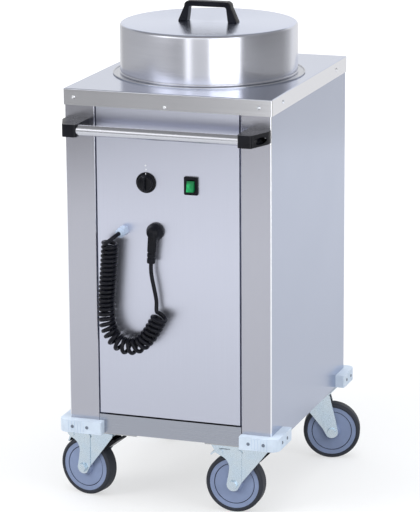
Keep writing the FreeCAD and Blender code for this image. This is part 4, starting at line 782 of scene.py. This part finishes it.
def makeLidHandle():
    high, under, wide = handleSet["top"], handleSet["top"] - handleSet["bar"], handleSet["width"] / 2
    barOut, barIn, foot = handleSet["barOut"], handleSet["barIn"], handleSet["foot"]
    handle = addBlock("bridgeHandle", (-barOut, -wide, under), (barOut, wide, high))
    startEdit(handle)
    for side in (-1, 1):
        bpy.ops.mesh.select_all(action="SELECT")
        bpy.ops.mesh.bisect(plane_co=(side * barIn, 0, 0), plane_no=(1, 0, 0))
    # the legs go down and out, and widen to their feet
    legMiddle, footMiddle = (barOut + barIn) / 2, (handleSet["footOut"] + handleSet["footIn"]) / 2
    wider = (handleSet["footOut"] - handleSet["footIn"]) / (barOut - barIn)
    for side in (-1, 1):
        pickFaces(handle, lambda centre, normal: normal.z < -0.9 and side * centre.x > barIn)
        extrude(side * (footMiddle - legMiddle), 0, foot - under)
        resize(wider, 1, 1, (side * footMiddle, 0, foot))
    # the bar's outer corners are large rounds, its inner ones smaller, and all other edges small
    near = 0.0005
    pickEdges(handle, lambda middle, run: middle.z > high - near and abs(middle.x) > barOut - near
              and abs(run.y) > wide)
    bevelEdges(handleSet["round"], 6)
    pickEdges(handle, lambda middle, run: abs(middle.z - under) < near and abs(abs(middle.x) - barIn) < near
              and abs(run.y) > wide)
    bevelEdges(handleSet["inner"], 4)
    endEdit()
    softenEdges(handle, handleSet["edge"], 4, 40)
    smooth(handle, 45)
    return handle


fitPiece(makeLid(), "lid", finishes["lid"], "lid_steel", "lid")
fitPiece(makeLidHandle(), "lid", finishes["black"], "black_moulding", "lid_handle")
print("lid and handle")


# cabinet: the front panel and the bar's arms with softened edges

edgeSet = {"panel": 0.0010, "bracket": 0.0016, "bezel": 0.0010, "rocker": 0.0008, "gland": 0.0006,
           "bumper": 0.0002, "fork": 0.0009, "pedal": 0.0012, "shoe": 0.0007}

fitRounded("front_panel", "frontDoor", "cabinet", "panel", "panel_steel", edgeSet["panel"])
for side in ("left", "right"):
    fitRounded(side + "_bar_bracket", side + "BarArm", "cabinet", "bracket", "black_moulding", edgeSet["bracket"], 3)
print("front panel and bar arms")


# screws: a button head with a drive recess, copied to each place

screwSet = {
    # radius, height, drive, shank and length
    "screw": (0.0040, 0.0020, 0.0016, 0.0019, 0.008), "bumperScrew": (0.0036, 0.0012, 0.0014, 0.0016, 0.006),
    "skirt": [(-0.201, 0.875), (-0.004, 0.865), (0.196, 0.875)], "skirtOut": 0.265,
    "side": [-0.190, 0.187], "sideOut": 0.2235, "sideUp": 0.875,
    "foot": (0.2115, -0.267, 0.816),
    "bumperIn": (0.0315, 0.064), "bumperUp": 0.1765, "bumperFace": (0.2415, 0.283),
}


def buttonHead(name, radius, high, drive, shank, shankLength):
    # a low dome with a round recess
    steps = [(0.00001, -shankLength), (shank, -shankLength), (shank, 0), (radius * 0.97, 0), (radius, high * 0.12),
             (radius * 0.97, high * 0.35), (radius * 0.88, high * 0.62), (radius * 0.74, high * 0.84),
             (radius * 0.56, high * 0.97), (drive, high), (drive * 0.93, high * 0.92), (drive * 0.9, high * 0.35),
             (0.00001, high * 0.25)]
    head = turnedPiece(name, steps, 24)
    smooth(head, 35)
    return head


def putScrews(name, pattern, places):
    copies = [placePiece(copyPiece(pattern, "screwCopy"), facing(*place)) for place in places]
    bpy.data.objects.remove(pattern)
    copies[0].name = name
    return joinPieces(*copies)


def makeScrews():
    pattern = buttonHead("screwPattern", *screwSet["screw"])
    places = []
    for x, z in screwSet["skirt"]:
        places += [((0, -1, 0), (x, -screwSet["skirtOut"], z)), ((0, 1, 0), (x, screwSet["skirtOut"], z))]
    for side in (-1, 1):
        for y in screwSet["side"]:
            places.append(((side, 0, 0), (side * screwSet["sideOut"], y, screwSet["sideUp"])))
        x, y, z = screwSet["foot"]
        places.append(((0, -1, 0), (side * x, y, z)))
    return putScrews("cabinetScrewHeads", pattern, places)


def makeBumperScrews():
    pattern = buttonHead("bumperScrewPattern", *screwSet["bumperScrew"])
    faceX, faceY = screwSet["bumperFace"]
    up = screwSet["bumperUp"]
    places = []
    for xSide in (-1, 1):
        for ySide in (-1, 1):
            for inset in screwSet["bumperIn"]:
                places += [((0, ySide, 0), (xSide * (faceX - inset), ySide * faceY, up)),
                           ((xSide, 0, 0), (xSide * faceX, ySide * (faceY - inset), up))]
    return putScrews("bumperScrewHeads", pattern, places)


fitPiece(makeScrews(), "cabinet", finishes["fastener"], "fastener", "cabinet_screws")
fitPiece(makeBumperScrews(), "cabinet", finishes["bumperScrew"], "fastener", "bumper_screws")
print("screws")


# controls: thermostat knob with its marks, lit switch, lead gland

dialSet = {
    "x": -0.046, "z": 0.706, "panel": -0.2622, "dot": (-0.0472, 0.7413), "tick": (-0.0462, 0.7331),
    "tickSize": (0.0026, 0.0009, 0.0032), "pointer": (0.0014, 0.0008, 0.0036), "pointerUp": 0.0190,
    "pointerOut": 0.0030,
    # radius and distance from the panel
    "dotSteps": [(0.00001, -0.0003), (0.0019, -0.0003), (0.0019, 0.0004), (0.0016, 0.0007), (0.00001, 0.0008)],
    "drum": [(0.00001, 0.0003), (0.0206, 0.0003), (0.0215, 0.0009), (0.0215, 0.0021), (0.0208, 0.0029),
             (0.0174, 0.0033), (0.0167, 0.0041), (0.0158, 0.0112), (0.0150, 0.0125), (0.0132, 0.0131),
             (0.00001, 0.0131)],
    "ridge": (0.0072, 0.0316, 0.0136), "ridgeTop": 0.0196, "ridgeNarrows": (0.78, 0.86), "ridgeEdge": 0.0013,
}


def dialMark(name, middle, size, edge):
    mark = addBlock(name, [place - whole / 2 for place, whole in zip(middle, size)],
                    [place + whole / 2 for place, whole in zip(middle, size)])
    softenEdges(mark, edge, 2)
    smooth(mark)
    return mark


def makeDialMarks():
    panel = dialSet["panel"]
    dot = turnedPiece("dialDot", dialSet["dotSteps"], 24)
    placePiece(dot, facing((0, -1, 0), (dialSet["dot"][0], panel, dialSet["dot"][1])))
    x, z = dialSet["tick"]
    tick = dialMark("dialTick", (x, panel - 0.00015, z), dialSet["tickSize"], 0.0005)
    joinPieces(dot, tick)
    smooth(dot)
    return dot


def makeKnob():
    # a skirt and a drum, with a grip ridge across; built facing up, then stood against the panel
    drum = turnedPiece("thermostatKnob", dialSet["drum"], 72)
    wide, across, high = dialSet["ridge"]
    top = dialSet["ridgeTop"]
    ridge = addBlock("knobRidge", (-wide / 2, -across / 2, top - high), (wide / 2, across / 2, top))
    startEdit(ridge)
    pickFaces(ridge, lambda centre, normal: normal.z > 0.9)
    resize(*dialSet["ridgeNarrows"], 1, (0, 0, top))
    endEdit()
    softenEdges(ridge, dialSet["ridgeEdge"], 3)
    joinPieces(drum, ridge)
    smooth(drum, 40)
    return placePiece(drum, facing((0, -1, 0), (dialSet["x"], dialSet["panel"], dialSet["z"])))


rockerSet = {"middle": (0.0515, 0, 0.706), "lower": -0.0012, "higher": 0.0006, "wider": 1.08}


def tallerLens(piece):
    # the lens fills more of its well than the plain solid does
    pickFaces(piece, lambda centre, normal: normal.z < -0.35)
    move(z=rockerSet["lower"])
    pickFaces(piece, lambda centre, normal: normal.z > 0.8)
    move(z=rockerSet["higher"])
    pickFaces(piece, lambda centre, normal: abs(normal.x) > 0.9)
    resize(rockerSet["wider"], 1, 1, rockerSet["middle"])


fitPiece(makeKnob(), "knob", finishes["knob"], "knob_moulding", "knob")
pointerPlace = (dialSet["x"], dialSet["panel"] - dialSet["pointerOut"], dialSet["z"] + dialSet["pointerUp"])
fitPiece(dialMark("knobPointer", pointerPlace, dialSet["pointer"], 0.0002), "knob", finishes["paint"],
         "knob_moulding")
fitPiece(makeDialMarks(), "cabinet", finishes["paint"], "panel_steel")
fitRounded("switch_housing", "switchBezel", "cabinet", "black", "black_moulding", edgeSet["bezel"])
fitRounded("rocker", "litRocker", "rocker", "lens", "green_lens", edgeSet["rocker"], 3, tallerLens)
fitRounded("cable_gland", "glandBody", "cabinet", "gland", "gland_moulding", edgeSet["gland"])
fitRounded("gland_nut", "glandNut", "cabinet", "gland", "gland_moulding", edgeSet["gland"])
print("controls")


# running gear: bumpers, forks, and a black ring in the groove of each face of the discs, a painted shadow where the
# groove is in shade

# the shade ring's radii and its distances from the wheel's middle; the line that ends a plain fork
wheelSet = {"grooveIn": 0.0428, "grooveOut": 0.0442, "ringLow": 0.0108, "ringHigh": 0.0119,
            "legBack": 0.009, "legUp": 0.090, "legLean": 0.25}
wheelJoints = {joint["child"]: joint for joint in frame["joints"]}


def withoutWing(corner):
    # an unbraked fork has no wing over its wheel: it is cut off along a line that leans in upwards
    axle = Vector(wheelJoints[corner + "_roller"]["pos_m"])
    back = axle - Vector(wheelJoints[corner + "_swivel"]["pos_m"])
    back.z = 0
    back.normalize()
    place = axle + back * wheelSet["legBack"]
    place.z = wheelSet["legUp"]

    def cutWing(piece):
        bpy.ops.mesh.select_all(action="SELECT")
        bpy.ops.mesh.bisect(plane_co=place, plane_no=back + Vector((0, 0, wheelSet["legLean"])), use_fill=True,
                            clear_outer=True)

    return cutWing


# black rings that stand for the shade inside each groove: a painted shadow
def makeGrooveShadeRings(corner):
    inner, outer, low, high = (wheelSet[key] for key in ("grooveIn", "grooveOut", "ringLow", "ringHigh"))
    joint = wheelJoints[corner + "_roller"]
    rings = []
    for side in (-1, 1):
        ring = turnedPiece(corner + "_grooveShadeRing", [(inner, low), (outer, low), (outer, high), (inner, high),
                                                    (inner, low)], 96)
        rings.append(placePiece(ring, facing(Vector(joint["axis"]) * side, joint["pos_m"])))
    joinPieces(*rings)
    smooth(rings[0], 40)
    return rings[0]


for corner in corners:
    fitRounded(corner + "_bumper", corner + "_cornerBumper", "cabinet", "bumper", "bumper_moulding",
               edgeSet["bumper"])
    fitRounded(corner + "_fork", corner + "_pressedFork", corner + "_swivel", "zinc", "zinc", edgeSet["fork"],
               reshape=withoutWing(corner) if corner.startswith("rear") else None)
    fitPiece(makeGrooveShadeRings(corner), corner + "_roller", finishes["black"], "black_moulding")
for side in ("left", "right"):
    caster = "front_" + side
    fitRounded(caster + "_brake_pedal", side + "BrakePedal", caster + "_pedal", "black", "black_moulding",
               edgeSet["pedal"])
    fitRounded(caster + "_brake_shoe", side + "BrakeShoe", caster + "_shoe", "zinc", "zinc", edgeSet["shoe"])
print("running gear")


# plate lift: three tension springs with end hooks, between the hooks of the well and of the carrier

springSet = {"radius": 0.0047, "wire": 0.0008, "circle": 0.161, "angles": (150, 270, 30), "low": 0.7227,
             "high": 0.880, "hook": 0.006, "turns": 46, "perTurn": 12}


def springCoil(name, x, y):
    radius = springSet["radius"]
    low, high = springSet["low"] + springSet["hook"], springSet["high"] - springSet["hook"]
    points = [(x, y, springSet["low"] + 0.001), (x, y, low - 0.002)]
    count = springSet["turns"] * springSet["perTurn"]
    for number in range(count + 1):
        turn = 2 * math.pi * number / springSet["perTurn"]
        points.append((x + radius * math.cos(turn), y + radius * math.sin(turn), low + (high - low) * number / count))
    points += [(x, y, high + 0.002), (x, y, springSet["high"] - 0.001)]
    coil = wireAlong(name, points, springSet["wire"], 1)
    coil.data.splines[0].resolution_u = 1
    return coil


def makeSprings():
    coils = []
    for number, degrees in enumerate(springSet["angles"]):
        angle = math.radians(degrees)
        coil = springCoil("springCoil%d" % number, springSet["circle"] * math.cos(angle),
                          springSet["circle"] * math.sin(angle))
        activate(coil)
        bpy.ops.object.convert(target="MESH")
        coils.append(bpy.context.object)
    springs = joinPieces(*coils)
    springs.name = "tensionSprings"
    startEdit(springs)
    weld(0.000001)
    endEdit()
    smooth(springs, 60)
    return springs


tensionSprings = makeSprings()
setMaterial(tensionSprings, finishes["spring"])
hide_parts("carrier_springs")
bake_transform(tensionSprings)
print("plate lift")


# studio: a white floor, soft lamps, and a ring of grey and white cards that only the steel sees

studioSet = {
    "floorSize": 16, "floorGrey": 0.45, "floorLift": (0.56, 0.84), "liftFrom": (1.2, 3.4), "mirrorLift": 0.76,
    "soft": 0.8, "softTint": (0.93, 0.96, 1.0),
    "ringRadius": 2.8, "ringLow": 0.19, "ringHigh": 2.6, "ringPower": 2.6, "ceiling": 0.33,
    # the front of the ring is brighter higher up: from and to height, from and to Y, brightness
    "glow": (0.7, 1.9, -1.2, -2.2, 1.45),
    # direction round the object, degrees from the front to the right, and the brightness there
    "ring": [(-180, 0.88), (-138, 0.85), (-125, 0.52), (-60, 0.54), (-22, 0.35), (-10.5, 0.40), (-9.5, 1.65),
             (-3.5, 1.65), (-2.5, 0.64), (20, 0.64), (21, 2.6), (57, 2.6), (58, 0.25), (83, 0.25), (125, 0.33),
             (140, 0.55), (152, 0.92), (180, 0.88)],
    # name, place, target, width, height, power and tint of each lamp
    "lamps": [("leftSoftbox", (-2.6, -3.0, 2.6), (0, 0, 0.6), 1.8, 1.8, 60, (1, 1, 1)),
              ("topSoftbox", (0.3, -0.4, 3.4), (0, 0, 0.5), 2.4, 2.4, 28, (1, 1, 1)),
              ("rightSoftbox", (3.2, -1.4, 2.2), (0, 0, 0.6), 1.6, 1.8, 30, (0.93, 0.96, 1.0))],
}


def studioFloor():
    clearSelection()
    bpy.ops.mesh.primitive_plane_add(size=studioSet["floorSize"], location=(0, 0, 0))
    floor = namePiece("studioFloor")
    material = newMaterial("floorPaper", (studioSet["floorGrey"],) * 3, 0.9, specular=0.1)
    tree = material.node_tree
    path = tree.nodes.new("ShaderNodeLightPath").outputs
    mirrored = calculate(tree, "MULTIPLY", path["Is Glossy Ray"], studioSet["mirrorLift"])
    seen = calculate(tree, "MAXIMUM", path["Is Camera Ray"], mirrored)
    # the paper is lit less far from the object, so it is lifted more there
    distance = measureVector(tree, "LENGTH", objectPattern(material))
    lift = mapValue(tree, distance, *studioSet["liftFrom"], *studioSet["floorLift"])
    tree.nodes["Principled BSDF"].inputs["Emission Color"].default_value = (1, 1, 1, 1)
    wire(material, calculate(tree, "MULTIPLY", seen, lift), "Emission Strength")
    setMaterial(floor, material)


def studioWorld():
    # plain white where it is seen, and a softer light on the object
    world = bpy.data.worlds.new("studioWorld")
    world.use_nodes = True
    bpy.context.scene.world = world
    tree = world.node_tree
    tree.nodes.clear()
    path = tree.nodes.new("ShaderNodeLightPath").outputs
    seen = calculate(tree, "MAXIMUM", path["Is Camera Ray"], path["Is Glossy Ray"])
    seen = calculate(tree, "MAXIMUM", seen, path["Is Transmission Ray"])
    mix = tree.nodes.new("ShaderNodeMixShader")
    tree.links.new(seen, mix.inputs["Fac"])
    for number, (colour, strength) in enumerate(((studioSet["softTint"], studioSet["soft"]), ((1, 1, 1), 1))):
        light = tree.nodes.new("ShaderNodeBackground")
        feed(tree, light.inputs["Color"], colour)
        feed(tree, light.inputs["Strength"], strength)
        tree.links.new(light.outputs["Background"], mix.inputs[number + 1])
    output = tree.nodes.new("ShaderNodeOutputWorld")
    tree.links.new(mix.outputs["Shader"], output.inputs["Surface"])


def softLamp(name, place, target, width, height, power, tint):
    light = bpy.data.lights.new(name, "AREA")
    light.shape = "RECTANGLE"
    light.size = width
    light.size_y = height
    light.energy = power
    light.color = tint
    lamp = bpy.data.objects.new(name, light)
    bpy.context.scene.collection.objects.link(lamp)
    lamp.location = place
    lamp.rotation_euler = (Vector(target) - Vector(place)).to_track_quat("-Z", "Y").to_euler()


def glowingCard(name, strength):
    # the material of a card that shines by itself, and the socket of its colour
    material = bpy.data.materials.new(name)
    material.use_nodes = True
    tree = material.node_tree
    tree.nodes.clear()
    glow = tree.nodes.new("ShaderNodeEmission")
    glow.inputs["Color"].default_value = (1, 1, 1, 1)
    glow.inputs["Strength"].default_value = strength
    output = tree.nodes.new("ShaderNodeOutputMaterial")
    tree.links.new(glow.outputs["Emission"], output.inputs["Surface"])
    return material, glow.inputs["Color"]


def hangCard(name, material):
    card = namePiece(name)
    bpy.ops.object.transform_apply()
    setMaterial(card, material)
    card.visible_camera = False
    card.visible_shadow = False
    card.visible_diffuse = False


def studioRing():
    # the brightness round the ring comes from the angle on the object's own coordinates
    power = studioSet["ringPower"]
    material, colour = glowingCard("cardPaper", power)
    tree = material.node_tree
    parts = splitVector(tree, objectPattern(material))
    angle = calculate(tree, "ARCTAN2", parts["X"], calculate(tree, "MULTIPLY", parts["Y"], -1))
    ramp = tree.nodes.new("ShaderNodeValToRGB")
    marks = ramp.color_ramp.elements
    marks[0].position, marks[1].position = 0, 1
    for degrees, grey in studioSet["ring"][1:-1]:
        marks.new((degrees + 180) / 360)
    for mark, (degrees, grey) in zip(marks, studioSet["ring"]):
        mark.color = (*(grey / power,) * 3, 1)
    tree.links.new(mapValue(tree, angle, -math.pi, math.pi), ramp.inputs["Fac"])
    lowGlow, highGlow, backGlow, frontGlow, brightness = studioSet["glow"]
    both = calculate(tree, "MULTIPLY", placeAlong(material, "Z", lowGlow, highGlow),
                     placeAlong(material, "Y", backGlow, frontGlow))
    feed(tree, colour, blendColours(material, both, ramp.outputs["Color"], (brightness / power,) * 3))
    clearSelection()
    low, high = studioSet["ringLow"], studioSet["ringHigh"]
    bpy.ops.mesh.primitive_cylinder_add(vertices=180, radius=studioSet["ringRadius"], depth=high - low,
                                        end_fill_type="NOTHING", location=(0, 0, (low + high) / 2))
    hangCard("cardRing", material)


def studioCeiling():
    # a grey disc over the ring
    clearSelection()
    bpy.ops.mesh.primitive_circle_add(vertices=64, radius=studioSet["ringRadius"], fill_type="NGON",
                                      location=(0, 0, studioSet["ringHigh"]))
    hangCard("cardCeiling", glowingCard("ceilingPaper", studioSet["ceiling"])[0])


studioFloor()
studioWorld()
for lamp in studioSet["lamps"]:
    softLamp(*lamp)
studioRing()
studioCeiling()
print("studio set")
